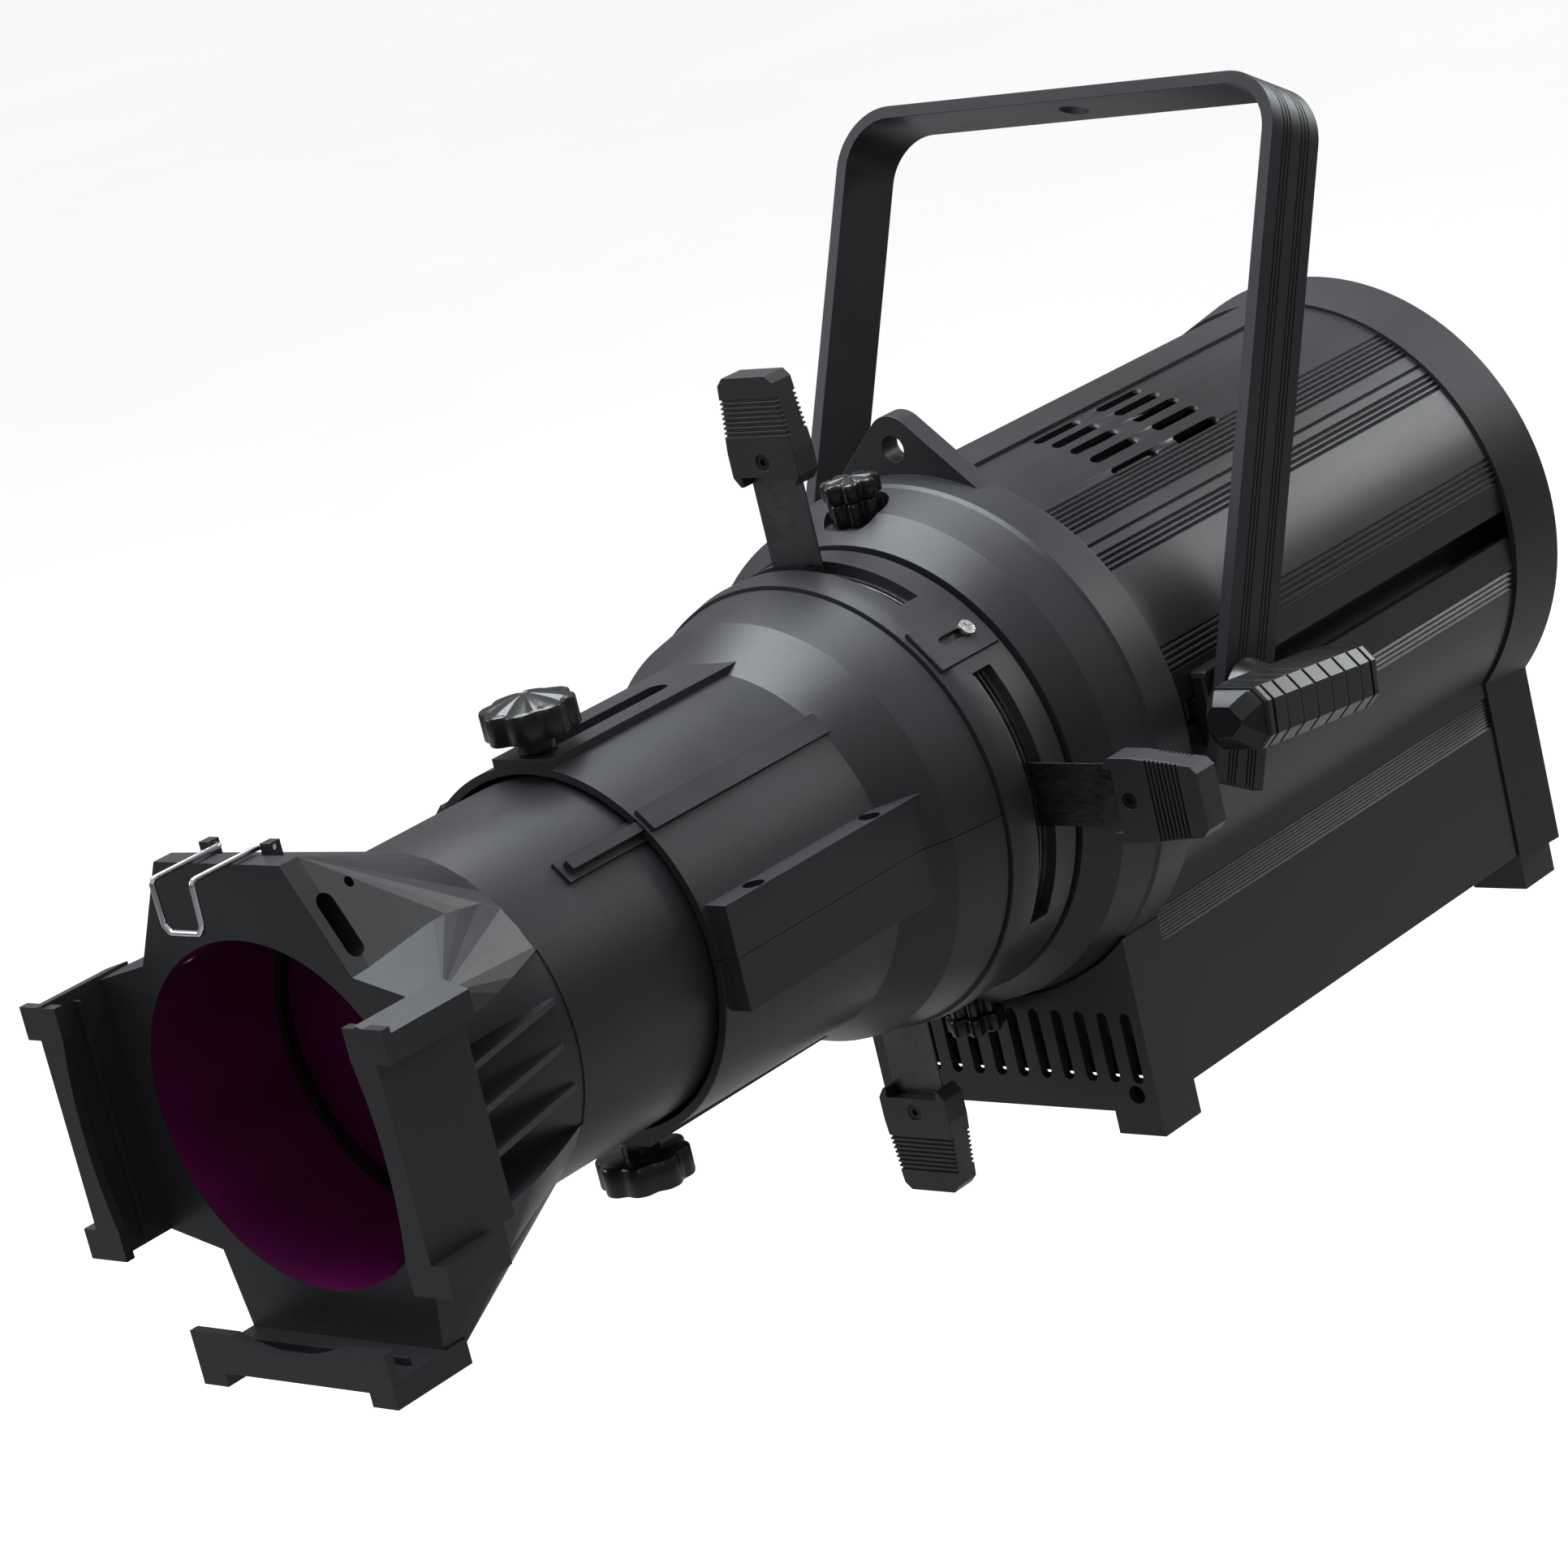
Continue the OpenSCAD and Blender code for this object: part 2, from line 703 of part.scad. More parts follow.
module shutter_grip(i) {
    outer_w = grip_w * 0.82;
    half_t = grip_thick / 2;
    color("dimgray") shutter_at(i) difference() {
        along_y(-half_t, half_t) polygon([
            [3 - grip_w / 2, grip_in], [grip_w / 2 - 3, grip_in], [grip_w / 2, grip_in + 4],
            [grip_w / 2, grip_in + 14], [outer_w / 2, grip_in + grip_len - 3],
            [outer_w / 2 - 3, grip_in + grip_len], [3 - outer_w / 2, grip_in + grip_len],
            [-outer_w / 2, grip_in + grip_len - 3], [-grip_w / 2, grip_in + 14],
            [-grip_w / 2, grip_in + 4]]);
        box(-blade_neck_half_w - 0.1, blade_neck_half_w + 0.1, -blade_thick / 2 - 0.1, blade_thick / 2 + 0.1,
            grip_in - 1, grip_in + pocket_depth + 0.3);
        box(-blade_neck_half_w - 0.1, blade_neck_half_w + 0.1, -grip_thick, grip_thick, grip_in - 1,
            grip_in + grip_notch);
        for (n = [0 : 7], s = [-1, 1])
            box(-grip_w, grip_w, s * half_t - groove_depth, s * half_t + groove_depth,
                grip_in + 21 + n * 2, grip_in + 22 + n * 2);
        translate([0, 0, grip_in + grip_screw_in]) rod_y(-half_t - 1, half_t + 1, grip_screw_r + 0.2);
        translate([0, 0, grip_in + grip_screw_in]) rod_y(-half_t - 1, -half_t + 2.2, 3.4);
    }
}

module shutter_screw(i) {
    half_t = grip_thick / 2;
    color("gray") shutter_at(i) translate([0, 0, grip_in + grip_screw_in]) {
        rod_y(-half_t + 2, half_t - 1, grip_screw_r);
        difference() {
            rod_y(-half_t + 0.4, -half_t + 2.2, 3.2);
            rod_y(-half_t - 1, -half_t + 1.4, 1.5);
        }
    }
}

module top_shutter_blade() { shutter_blade(1); }
module top_shutter_grip() { shutter_grip(1); }
module top_shutter_screw() { shutter_screw(1); }
module right_shutter_blade() { shutter_blade(2); }
module right_shutter_grip() { shutter_grip(2); }
module right_shutter_screw() { shutter_screw(2); }
module bottom_shutter_blade() { shutter_blade(0); }
module bottom_shutter_grip() { shutter_grip(0); }
module bottom_shutter_screw() { shutter_screw(0); }
module left_shutter_blade() { shutter_blade(3); }
module left_shutter_grip() { shutter_grip(3); }
module left_shutter_screw() { shutter_screw(3); }

// ---------- collar ----------
module collar_ring() {
    color("dimgray") placed() difference() {
            union() {
                turned_y() polygon([
                    [sleeve_r + run_clear, collar_y], [collar_front_r - 0.8, collar_y],
                    [collar_front_r, collar_y + 1.5], [collar_step_r, collar_step_y],
                    [collar_r - 1, collar_y + 34], [collar_r, collar_y + 36],
                    [collar_r, collar_y + collar_len - 1], [collar_r - 1, collar_y + collar_len],
                    [0, collar_y + collar_len], [0, collar_y + collar_len - 4],
                    [collar_r - 8, collar_y + collar_len - 4], [collar_r - 8, collar_y + collar_flange],
                    [sleeve_r + run_clear, collar_y + collar_flange]
                ]);
                lug();
            }
            for (a = [90, -90])
                at_angle(a) translate([0, lock_y, 0]) {
                    translate([0, 0, lock_seat_z]) cylinder(h = 30, r = lock_knob_r + 1.5);
                    translate([0, 0, sleeve_r - 2]) cylinder(h = 30, r = lock_stud_r + run_clear);
                }
            rod_y(collar_y + collar_len - 5, collar_y + collar_len + 1, optic_out_r + fit_gap);
    }
}

module lug() {
    y1 = collar_y + collar_len;
    z_top = collar_r + lug_h - lug_round_r;
    difference() {
        hull() {
            translate([0, 0, z_top]) rod_y(y1 - lug_thick, y1, lug_round_r);
            along_y(y1 - lug_thick, y1) translate([-lug_half_w, collar_r - 14]) square([2 * lug_half_w, 1]);
        }
        translate([0, 0, z_top - 2]) rod_y(y1 - lug_thick - 1, y1 + 1, lug_hole_r);
        rod_y(y1 - lug_thick - 1, y1 + 1, collar_r - 6);
    }
}

module lock_knob(a) {
    color("black") placed() at_angle(a) translate([0, lock_y, 0]) {
        translate([0, 0, sleeve_r + lock_stud_gap]) cylinder(h = lock_seat_z - sleeve_r + 4, r = lock_stud_r);
        translate([0, 0, lock_seat_z + 0.5]) lobed_head(lock_knob_r - 1.5, 10, 7, 3.2);
        translate([0, 0, lock_seat_z + 10.5]) lobed_head(lock_knob_r, 9, 7, 3.8);
    }
}

module top_lock_knob() { lock_knob(90); }

module bottom_lock_knob() { lock_knob(-90); }

// ---------- housing ----------
skirt_top = -60;

module round_outline(r, flat) {
    intersection() {
        circle(r, $fn = 160);
        square([2 * flat, 4 * r], center = true);
    }
}

module housing_outline(grow) {
    round_outline(housing_r + grow, flat_x + grow);
    translate([-skirt_half_w - grow, -skirt_drop - grow])
        square([2 * (skirt_half_w + grow), skirt_drop + skirt_top + grow]);
}

module channel_room(grow) {
    for (s = [0, 1]) mirror([s, 0]) {
        translate([flat_x - lip_depth - chan_depth - grow, -chan_half - grow])
            square([chan_depth + 2 * grow, 2 * (chan_half + grow)]);
        if (grow == 0)
            translate([flat_x - lip_depth - 1, -mouth_half]) square([lip_depth + 5, 2 * mouth_half]);
        else
            translate([flat_x - lip_depth, -chan_half - grow]) square([lip_depth, 2 * (chan_half + grow)]);
    }
}

rib_groups = [[57.2, 7], [44.4, 1], [41.4, 4], [16.5, 5], [-11.5, 4]];
rib_step = 1.4;
groove_w = 0.9;
skirt_rib_z = -81;
skirt_rib_step = 1.5;

module fine_grooves() {
    for (s = [0, 1]) mirror([s, 0]) {
        for (g = rib_groups, n = [0 : g[1] - 1])
            rotate(g[0] - n * rib_step) translate([housing_r, 0]) circle(groove_w, $fn = 4);
        for (n = [0 : 8])
            translate([skirt_half_w, skirt_rib_z - n * skirt_rib_step]) circle(groove_w, $fn = 4);
    }
}

module rear_housing() {
    color("dimgray") placed() difference() {
        along_y(housing_y, housing_back) difference() {
            union() {
                difference() {
                    housing_outline(0);
                    housing_outline(-housing_wall);
                }
                intersection() {
                    housing_outline(0);
                    channel_room(chan_wall);
                }
                translate([-13, housing_r - 2]) square([26, 3]);
            }
            channel_room(0);
            fine_grooves();
        }
        for (row = [0, 1], a = [58.2, 64.3, 69.8, 75, 80.1], s = [0, 1])
            mirror([s, 0, 0]) at_angle(a)
                long_slot(housing_y + 72 + row * 44, 31, 5, housing_r - 10, housing_r + 5);
    }
}

grille_pitch = 12;

module front_panel() {
    y1 = housing_y;
    color("dimgray") placed() difference() {
        union() {
            box(-skirt_half_w, skirt_half_w, panel_y, y1, -panel_drop - 2, -60);
            both_sides() box(skirt_half_w - 24, skirt_half_w, panel_y, y1, -panel_drop - foot_h, -panel_drop);
        }
        box(-skirt_half_w + 4, skirt_half_w - 4, panel_y + 4, y1 + 1, -panel_drop + 2, -50);
        rod_y(panel_y - 1, y1 + 1, collar_r + flat_gap);
        for (n = [-5.5 : 1 : 5.5])
            translate([n * grille_pitch, panel_y + 2, -131.5]) rotate([90, 0, 0]) rotate(90)
                grille_slot(31, 5.5);
        for (s = [-1, 1])
            translate([s * (skirt_half_w - 10.5), 0, -152]) rod_y(panel_y - 1, panel_y + 8, 4);
    }
}

// A round-ended slot through a wall, long in x
module grille_slot(len, w) {
    for (s = [-1, 1])
        translate([s * (len - w) / 2, 0, -6]) cylinder(h = 12, d = w, $fn = 24);
    box(-(len - w) / 2, (len - w) / 2, -w / 2, w / 2, -6, 6);
}

// ---------- rear cap ----------
cap_wall = 3;
fan_z = 28;
button_pitch = 20;
button_z = -58;
button_r = 5;

module cap_body(y0, y1, shrink) {
    r0 = housing_r + 1.5 - shrink;
    r1 = housing_r + 5 - shrink;
    w0 = skirt_half_w + 1 - shrink;
    w1 = skirt_half_w + 4 - shrink;
    cone_y(y0, y1, r0, r1);
    translate([0, 0, -skirt_drop - 2 + shrink]) linear_extrude(skirt_drop + skirt_top + 2 - shrink)
        polygon([[-w0, y0], [w0, y0], [w1, y1], [-w1, y1]]);
}

module rear_cap() {
    color("dimgray") placed() difference() {
        union() {
            cap_body(cap_y, cap_back, 0);
            both_sides() box(skirt_half_w - 30, skirt_half_w - 2, cap_y + 4, cap_back,
                             -panel_drop - foot_h - rear_foot_drop, -skirt_drop);
        }
        difference() {
            cap_body(cap_y - 1, cap_back - 6, cap_wall);
            for (x = [-60, 60], z = [40, -40])
                translate([x, 0, z]) rod_y(cap_y + 2, cap_back, 4.5);
        }
        for (i = [0 : 6])
            translate([0, cap_back - 3, fan_z + (i - 3) * 9.5]) rotate([90, 0, 0]) grille_slot(66 - abs(i - 3) * 8, 5);
        box(-46, 46, cap_back - 3, cap_back + 1, -72, -22);
        box(-41, 41, cap_back - 8, cap_back + 1, -68, -26);
        for (x = [-45, 0])
            box(x - 13.8, x + 13.8, cap_back - 8, cap_back + 1, -140, -112);
        for (x = [36, 62])
            translate([x, 0, -100]) rod_y(cap_back - 8, cap_back + 1, 11.7);
        translate([42, 0, -132]) rod_y(cap_back - 8, cap_back + 1, 7.2);
        for (x = [-60, 60], z = [40, -40])
            translate([x, 0, z]) rod_y(cap_back - 12, cap_back + 1, 2.05);
    }
}

module cap_screws() {
    color("gray") placed()
        for (x = [-60, 60], z = [40, -40])
            translate([x, cap_back, z]) rotate([-90, 0, 0]) cap_screw(2, 10);
}

module control_panel() {
    color("black") placed() difference() {
        box(-45.7, 45.7, cap_back - 3, cap_back - 1, -71.7, -22.3);
        box(-26.1, 26.1, cap_back - 4, cap_back, -43, -27);
        for (i = [0 : 3])
            translate([(i - 1.5) * button_pitch, 0, button_z])
                rod_y(cap_back - 4, cap_back, button_r + run_clear);
    }
}

module display_window() {
    color([0.1, 0.2, 0.3]) placed() {
        box(-26, 26, cap_back - 3.1, cap_back - 1.4, -42.9, -27.1);
        box(-29, 29, cap_back - 5, cap_back - 3, -46, -26.3);
    }
}

module control_board() {
    color("green") placed() {
        box(-38, 38, cap_back - 10, cap_back - 8.4, -66.5, -27);
        for (x = [-35, 35], z = [-50, -30])
            translate([x, 0, z]) rod_y(cap_back - 8.5, cap_back - 3, 2.5);
    }
}

module panel_button(i) {
    color("gray") placed() translate([(i - 1.5) * button_pitch, 0, button_z]) {
        rod_y(cap_back - 5, cap_back + 0.8, button_r);
        rod_y(cap_back - 5, cap_back - 3 - flat_gap, button_r + 1.2);
    }
}

module menu_button() { panel_button(0); }
module up_button() { panel_button(1); }
module down_button() { panel_button(2); }
module enter_button() { panel_button(3); }

module power_socket(x) {
    translate([x, 0, -126]) difference() {
        union() {
            box(-13.7, 13.7, cap_back - 7, cap_back, -13.9, 13.9);
            rod_y(cap_back - 25, cap_back - 6, 11);
        }
        rod_y(cap_back - 22, cap_back + 1, 9.5);
    }
    translate([x, 0, -126]) rod_y(cap_back - 23, cap_back - 6, 4);
}

module power_inlet() { color("royalblue") placed() power_socket(-45); }
module power_outlet() { color("lightgray") placed() power_socket(0); }

module data_connectors() {
    color("silver") placed()
        for (x = [36, 62])
            translate([x, 0, -100]) {
                difference() {
                    rod_y(cap_back - 20, cap_back, 11.5);
                    rod_y(cap_back - 12, cap_back + 1, 8);
                }
                for (t = [0 : 72 : 288])
                    translate([4 * cos(t), 0, 4 * sin(t)]) rod_y(cap_back - 13, cap_back - 4, 0.9);
            }
}

module fuse_holder() {
    color("black") placed() translate([42, 0, -132]) {
        rod_y(cap_back - 24, cap_back + 0.5, 7);
        rod_y(cap_back, cap_back + 3, 8.5);
    }
}

// ---------- light engine ----------
optic_y = collar_y + 12;
optic_out_r = 52;
board_y = collar_y + collar_len + 26;
sink_y = board_y + 2;
sink_r = 80;
fin_len = 92;
fan_shaft_r = 3;
fan_y = sink_y + 8 + fin_len;

module optic_holder() {
    color("black") placed() difference() {
        union() {
            cone_y(optic_y, board_y - 10, 42, optic_out_r - 1);
            rod_y(board_y - 10, board_y, optic_out_r);
        }
        cone_y(optic_y - 1, board_y - 9, 38, 44);
        rod_y(board_y - 10, board_y + 1, 36);
        rod_y(optic_y + 4, optic_y + 8.2, 40.2);
    }
}

module condenser_lens() {
    color([0.8, 0.85, 0.9, 0.5]) placed() rod_y(optic_y + 4.1, optic_y + 8.1, 40);
}

module led_board() {
    color("green") placed() rod_y(board_y, sink_y, 45);
}

module led_emitter() {
    color("gold") placed() {
        box(-19, 19, board_y - 1.6, board_y, -19, 19);
        rod_y(board_y - 2.4, board_y - 1.5, 15);
    }
}

module heat_sink() {
    color("silver") placed() {
        rod_y(sink_y, sink_y + 8.1, sink_r);
        for (a = [48, 132, -32, -148])
            at_angle(a) box(-9, 9, sink_y, sink_y + 8, sink_r - 4, housing_r - housing_wall - 0.5);
        along_y(sink_y + 8, sink_y + 8 + fin_len) intersection() {
            circle(sink_r);
            union()
                for (i = [-12 : 12])
                    translate([i * 6 - 1, -100]) square([2, 200]);
        }
    }
}

module fan_frame() {
    color("black") placed() difference() {
        box(-46, 46, fan_y, fan_y + 25, -46, 46);
        rod_y(fan_y - 1, fan_y + 21, 43);
        rod_y(fan_y + 20, fan_y + 24, fan_shaft_r + run_clear);
        for (s = [0, 45, 90, 135])
            rotate([0, s, 0]) translate([0, fan_y + 20, 0]) fan_opening();
        for (x = [-40, 40], z = [-40, 40])
            translate([x, 0, z]) rod_y(fan_y - 1, fan_y + 26, 2.2);
    }
}

// Two of the eight openings in the fan's rear guard
module fan_opening() {
    rotate([-90, 0, 0]) linear_extrude(8)
        for (s = [0, 180])
            rotate(s) difference() {
                polygon([[14, -3.5], [38, -12.5], [41, 0], [38, 12.5], [14, 3.5]]);
                circle(19);
            }
}

module fan_rotor() {
    color("black") placed() {
        rod_y(fan_y + 2, fan_y + 18.5, 17);
        rod_y(fan_y + 18, fan_y + 23.5, fan_shaft_r);
        for (i = [0 : 8])
            rotate([0, i * 40, 0]) translate([0, fan_y + 10, 16])
                rotate([0, 0, 35]) box(-11, 11, -0.8, 0.8, 0, 23);
    }
}

module driver_board() {
    color("green") placed() {
        box(-55, 55, housing_y + 20, housing_y + 130, -112, -110.4);
        for (i = [0 : 4])
            translate([(i - 2) * 20, housing_y + 40, -110.5]) cylinder(h = 14, r = 6, $fn = 32);
        for (x = [-45, 45], y = [40, 120])
            translate([x, housing_y + y, -118]) cylinder(h = 6.1, r = 2.5, $fn = 32);
        box(-40, 40, housing_y + 70, housing_y + 110, -110.5, -98);
    }
}

module power_supply() {
    color("lightgray") placed()
        box(-50, 50, housing_y + 30, housing_y + 200, -skirt_drop + housing_wall, -118);
}

// ---------- yoke ----------
module u_outline(half_w, top, r, bottom) {
    translate([-half_w, bottom]) square([2 * half_w, top - r - bottom]);
    translate([r - half_w, top - r - 1]) square([2 * (half_w - r), r + 1]);
    for (s = [-1, 1])
        translate([s * (half_w - r), top - r]) circle(r);
}

module u_bar(outset, depth, w) {
    top = yoke_len + outset;
    rotate([90 - yoke_lean, 0, 0]) translate([0, 0, -w / 2]) linear_extrude(w) difference() {
        u_outline(yoke_half_w + outset, top, bend_r + outset, -leg_below - outset);
        u_outline(yoke_half_w + outset - depth, top - depth, bend_r + outset - depth, -leg_below - 20);
    }
}

module yoke_bar() {
    color("dimgray") placed() translate([0, pivot_y, 0]) difference() {
        u_bar(0, yoke_thick, yoke_bar_w);
        for (v = yoke_grooves)
            rotate([-yoke_lean, 0, 0]) translate([0, v, 0]) rotate([yoke_lean, 0, 0]) u_bar(1, 1.6, 0.8);
        rod_x(-200, 200, stud_r + 0.5);
        rotate([-yoke_lean, 0, 0]) translate([0, 0, yoke_len - 20]) cylinder(h = 40, r = clamp_hole_r);
    }
}

module pivot_washers() {
    color("black") placed() both_sides() translate([0, pivot_y, 0]) difference() {
        rod_x(boss_x + 0.1, leg_in, washer_r);
        rod_x(boss_x - 1, leg_in + 1, stud_r + 0.5);
    }
}

module pivot_blocks() {
    nut_x0 = flat_x - lip_depth - chan_depth + nut_gap;
    nut_x1 = flat_x - lip_depth - nut_gap;
    color("black") placed() both_sides() translate([0, pivot_y, 0]) difference() {
        union() {
            box(nut_x0, nut_x1, -25, 25, nut_gap - chan_half, chan_half - nut_gap);
            box(nut_x1 - 1, flat_x + 2, -boss_half, boss_half, nut_gap - mouth_half, mouth_half - nut_gap);
            box(flat_x + 0.4, boss_x, -boss_half, boss_half, -boss_half, boss_half);
        }
        rod_x(nut_x0 - 1, boss_x + 1, stud_r + run_clear);
    }
}

module left_pivot_bolt() {
    color("gray") placed() translate([0, pivot_y, 0]) mirror([1, 0, 0]) {
        rod_x(flat_x - lip_depth - chan_depth + 2, yoke_half_w + 2, stud_r);
        difference() {
            rotate([0, 90, 0]) translate([0, 0, yoke_half_w + 0.3]) cylinder(h = 7, r = 9.5, $fn = 6);
            rod_x(yoke_half_w + 4, yoke_half_w + 9, 4);
        }
    }
}

handle_len = 90;
handle_x0 = yoke_half_w + 7;
handle_depth = 31;
hub_r = 15;

module tilt_handle() {
    color("dimgray") placed() translate([0, pivot_y, 0]) rotate([-7, 0, 0]) {
        rod_x(flat_x - lip_depth - chan_depth + 2, yoke_half_w + 4, stud_r);
        rod_x(yoke_half_w + flat_gap, handle_x0 + 4, hub_r);
        difference() {
            handle_bar();
            for (n = [0 : 5], s = [-1, 1])
                box(handle_x0 + 10, handle_x0 + 50, s * 12 + s * n * 5 - 0.8, s * 12 + s * n * 5 + 0.8, 9.5, 20);
        }
    }
}

module handle_bar() {
    h = handle_len / 2;
    x1 = handle_x0 + handle_depth;
    intersection() {
        translate([handle_x0, 0, 0]) rotate([0, 90, 0]) linear_extrude(handle_depth)
            polygon([[-12, -h + 8], [-5, -h], [5, -h], [12, -h + 8], [12, h - 8], [5, h], [-5, h], [-12, h - 8]]);
        translate([0, 0, -15]) linear_extrude(30) polygon([
            [handle_x0, -h + 14], [handle_x0 + 6, -h - 1], [x1 - 7, -h - 1], [x1, -h + 12],
            [x1, h - 12], [x1 - 7, h + 1], [handle_x0 + 6, h + 1], [handle_x0, h - 14]]);
    }
}

yoke_bar();
pivot_washers();
pivot_blocks();
left_pivot_bolt();
tilt_handle();
rear_housing();
front_panel();
collar_ring();
rear_cap();
heat_sink();
led_board();
led_emitter();
optic_holder();
condenser_lens();
fan_frame();
fan_rotor();
driver_board();
power_supply();
control_panel();
display_window();
menu_button();
up_button();
down_button();
enter_button();
control_board();
power_inlet();
power_outlet();
data_connectors();
fuse_holder();
cap_screws();
gate_ring();
barrel_upper();
barrel_lower();
barrel_screws();
barrel_retainer();
aperture_plate();
shutter_spacers();
top_shutter_blade();
top_shutter_grip();
top_shutter_screw();
right_shutter_blade();
right_shutter_grip();
right_shutter_screw();
bottom_shutter_blade();
bottom_shutter_grip();
bottom_shutter_screw();
left_shutter_blade();
left_shutter_grip();
left_shutter_screw();
slot_cover();
slot_cover_screw();
top_lock_knob();
bottom_lock_knob();
lens_tube();
front_lens();
rear_lens();
lens_retainers();
frame_clip();
top_focus_knob();
bottom_focus_knob();
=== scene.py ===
import json
import math

import bmesh
import bpy
from mathutils import Matrix, Vector


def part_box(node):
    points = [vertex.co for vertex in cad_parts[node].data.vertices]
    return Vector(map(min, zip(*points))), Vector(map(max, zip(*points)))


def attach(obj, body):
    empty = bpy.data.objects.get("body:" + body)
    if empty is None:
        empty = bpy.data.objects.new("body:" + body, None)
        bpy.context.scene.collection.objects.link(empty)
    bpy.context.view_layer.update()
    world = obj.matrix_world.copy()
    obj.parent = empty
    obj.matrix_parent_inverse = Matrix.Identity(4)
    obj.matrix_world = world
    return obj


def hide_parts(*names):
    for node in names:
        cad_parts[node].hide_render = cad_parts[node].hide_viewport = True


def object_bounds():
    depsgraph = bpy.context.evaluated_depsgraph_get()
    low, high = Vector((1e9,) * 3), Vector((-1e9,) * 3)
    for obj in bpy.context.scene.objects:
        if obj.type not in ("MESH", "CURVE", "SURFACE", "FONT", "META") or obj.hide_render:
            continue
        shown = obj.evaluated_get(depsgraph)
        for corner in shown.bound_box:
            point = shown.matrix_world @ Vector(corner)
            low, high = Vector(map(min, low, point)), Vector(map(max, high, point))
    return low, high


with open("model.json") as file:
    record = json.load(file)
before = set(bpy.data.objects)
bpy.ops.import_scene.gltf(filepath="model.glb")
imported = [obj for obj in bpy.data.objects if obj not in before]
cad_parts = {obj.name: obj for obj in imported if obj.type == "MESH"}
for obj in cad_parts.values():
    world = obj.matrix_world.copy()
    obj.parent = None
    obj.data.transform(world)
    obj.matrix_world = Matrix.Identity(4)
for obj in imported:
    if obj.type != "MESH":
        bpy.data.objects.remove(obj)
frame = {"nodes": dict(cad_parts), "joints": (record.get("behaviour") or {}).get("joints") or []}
cad_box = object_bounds()

# The optical axis and the holder's front edge are read from the frame. Pieces are drawn about the
# axis in millimetres, with y = 0 at the holder's front edge.
JOINTS = {j["name"]: j for j in frame["joints"]}
AXIS_Z = JOINTS["barrel_rotation"]["pos_m"][2]
FRONT_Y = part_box("lens_tube")[0].y
MM = 0.001


def at(x, y, z):
    return Vector((x * MM, FRONT_Y + y * MM, AXIS_Z + z * MM))


def mm_box(node):
    lo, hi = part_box(node)
    shift = Vector((0, FRONT_Y, AXIS_Z))
    return (lo - shift) / MM, (hi - shift) / MM


# ---------- materials ----------
class Mat:
    """A node tree with a few short cuts. Coordinates are the object's own, in metres."""

    def __init__(self, name, base, rough, metallic=0.0, specular=0.5, coat=0.0, coat_rough=0.1):
        self.m = bpy.data.materials.new(name)
        self.m.use_nodes = True
        self.n = self.m.node_tree.nodes
        self.l = self.m.node_tree.links
        self.bsdf = self.n["Principled BSDF"]
        self.set("Base Color", (*base, 1))
        self.set("Roughness", rough)
        self.set("Metallic", metallic)
        self.set("Specular IOR Level", specular)
        self.set("Coat Weight", coat)
        self.set("Coat Roughness", coat_rough)
        self.coord = self.n.new("ShaderNodeTexCoord").outputs["Object"]
        self.normal = None

    def set(self, socket, value):
        self.bsdf.inputs[socket].default_value = value

    def link(self, a, b):
        self.l.new(a, b)

    def noise(self, scale, detail=3.0, rough=0.55, stretch=None):
        t = self.n.new("ShaderNodeTexNoise")
        t.inputs["Scale"].default_value = scale
        t.inputs["Detail"].default_value = detail
        t.inputs["Roughness"].default_value = rough
        if stretch:
            mp = self.n.new("ShaderNodeMapping")
            mp.inputs["Scale"].default_value = stretch
            self.link(self.coord, mp.inputs["Vector"])
            self.link(mp.outputs["Vector"], t.inputs["Vector"])
        else:
            self.link(self.coord, t.inputs["Vector"])
        return t.outputs["Fac"]

    def remap(self, value, a0, a1, b0, b1):
        r = self.n.new("ShaderNodeMapRange")
        r.inputs["From Min"].default_value = a0
        r.inputs["From Max"].default_value = a1
        r.inputs["To Min"].default_value = b0
        r.inputs["To Max"].default_value = b1
        self.link(value, r.inputs["Value"])
        return r.outputs["Result"]

    def math(self, op, a, b=None):
        k = self.n.new("ShaderNodeMath")
        k.operation = op
        for i, v in enumerate((a, b)):
            if v is None:
                continue
            if isinstance(v, (int, float)):
                k.inputs[i].default_value = v
            else:
                self.link(v, k.inputs[i])
        return k.outputs["Value"]

    def mix(self, fac, a, b):
        k = self.n.new("ShaderNodeMix")
        k.data_type = "RGBA"
        self.link(fac, k.inputs["Factor"])
        for name, v in (("A", a), ("B", b)):
            s = [i for i in k.inputs if i.name == name and i.type == "RGBA"][0]
            if isinstance(v, tuple):
                s.default_value = (*v, 1)
            else:
                self.link(v, s)
        return [o for o in k.outputs if o.type == "RGBA"][0]

    def bump(self, height, distance, strength=1.0):
        b = self.n.new("ShaderNodeBump")
        b.inputs["Strength"].default_value = strength
        b.inputs["Distance"].default_value = distance
        self.link(height, b.inputs["Height"])
        if self.normal is not None:
            self.link(self.normal, b.inputs["Normal"])
        self.normal = b.outputs["Normal"]
        self.link(self.normal, self.bsdf.inputs["Normal"])

    def edge(self, radius, low=0.02, high=0.35):
        """1 on edges, 0 on flats."""
        bev = self.n.new("ShaderNodeBevel")
        bev.samples = 4
        bev.inputs["Radius"].default_value = radius
        geo = self.n.new("ShaderNodeNewGeometry")
        dot = self.n.new("ShaderNodeVectorMath")
        dot.operation = "DOT_PRODUCT"
        self.link(bev.outputs["Normal"], dot.inputs[0])
        self.link(geo.outputs["Normal"], dot.inputs[1])
        return self.remap(self.math("SUBTRACT", 1.0, dot.outputs["Value"]), low, high, 0.0, 1.0)

    def rough_from(self, value):
        self.link(value, self.bsdf.inputs["Roughness"])

    def color_from(self, value):
        self.link(value, self.bsdf.inputs["Base Color"])


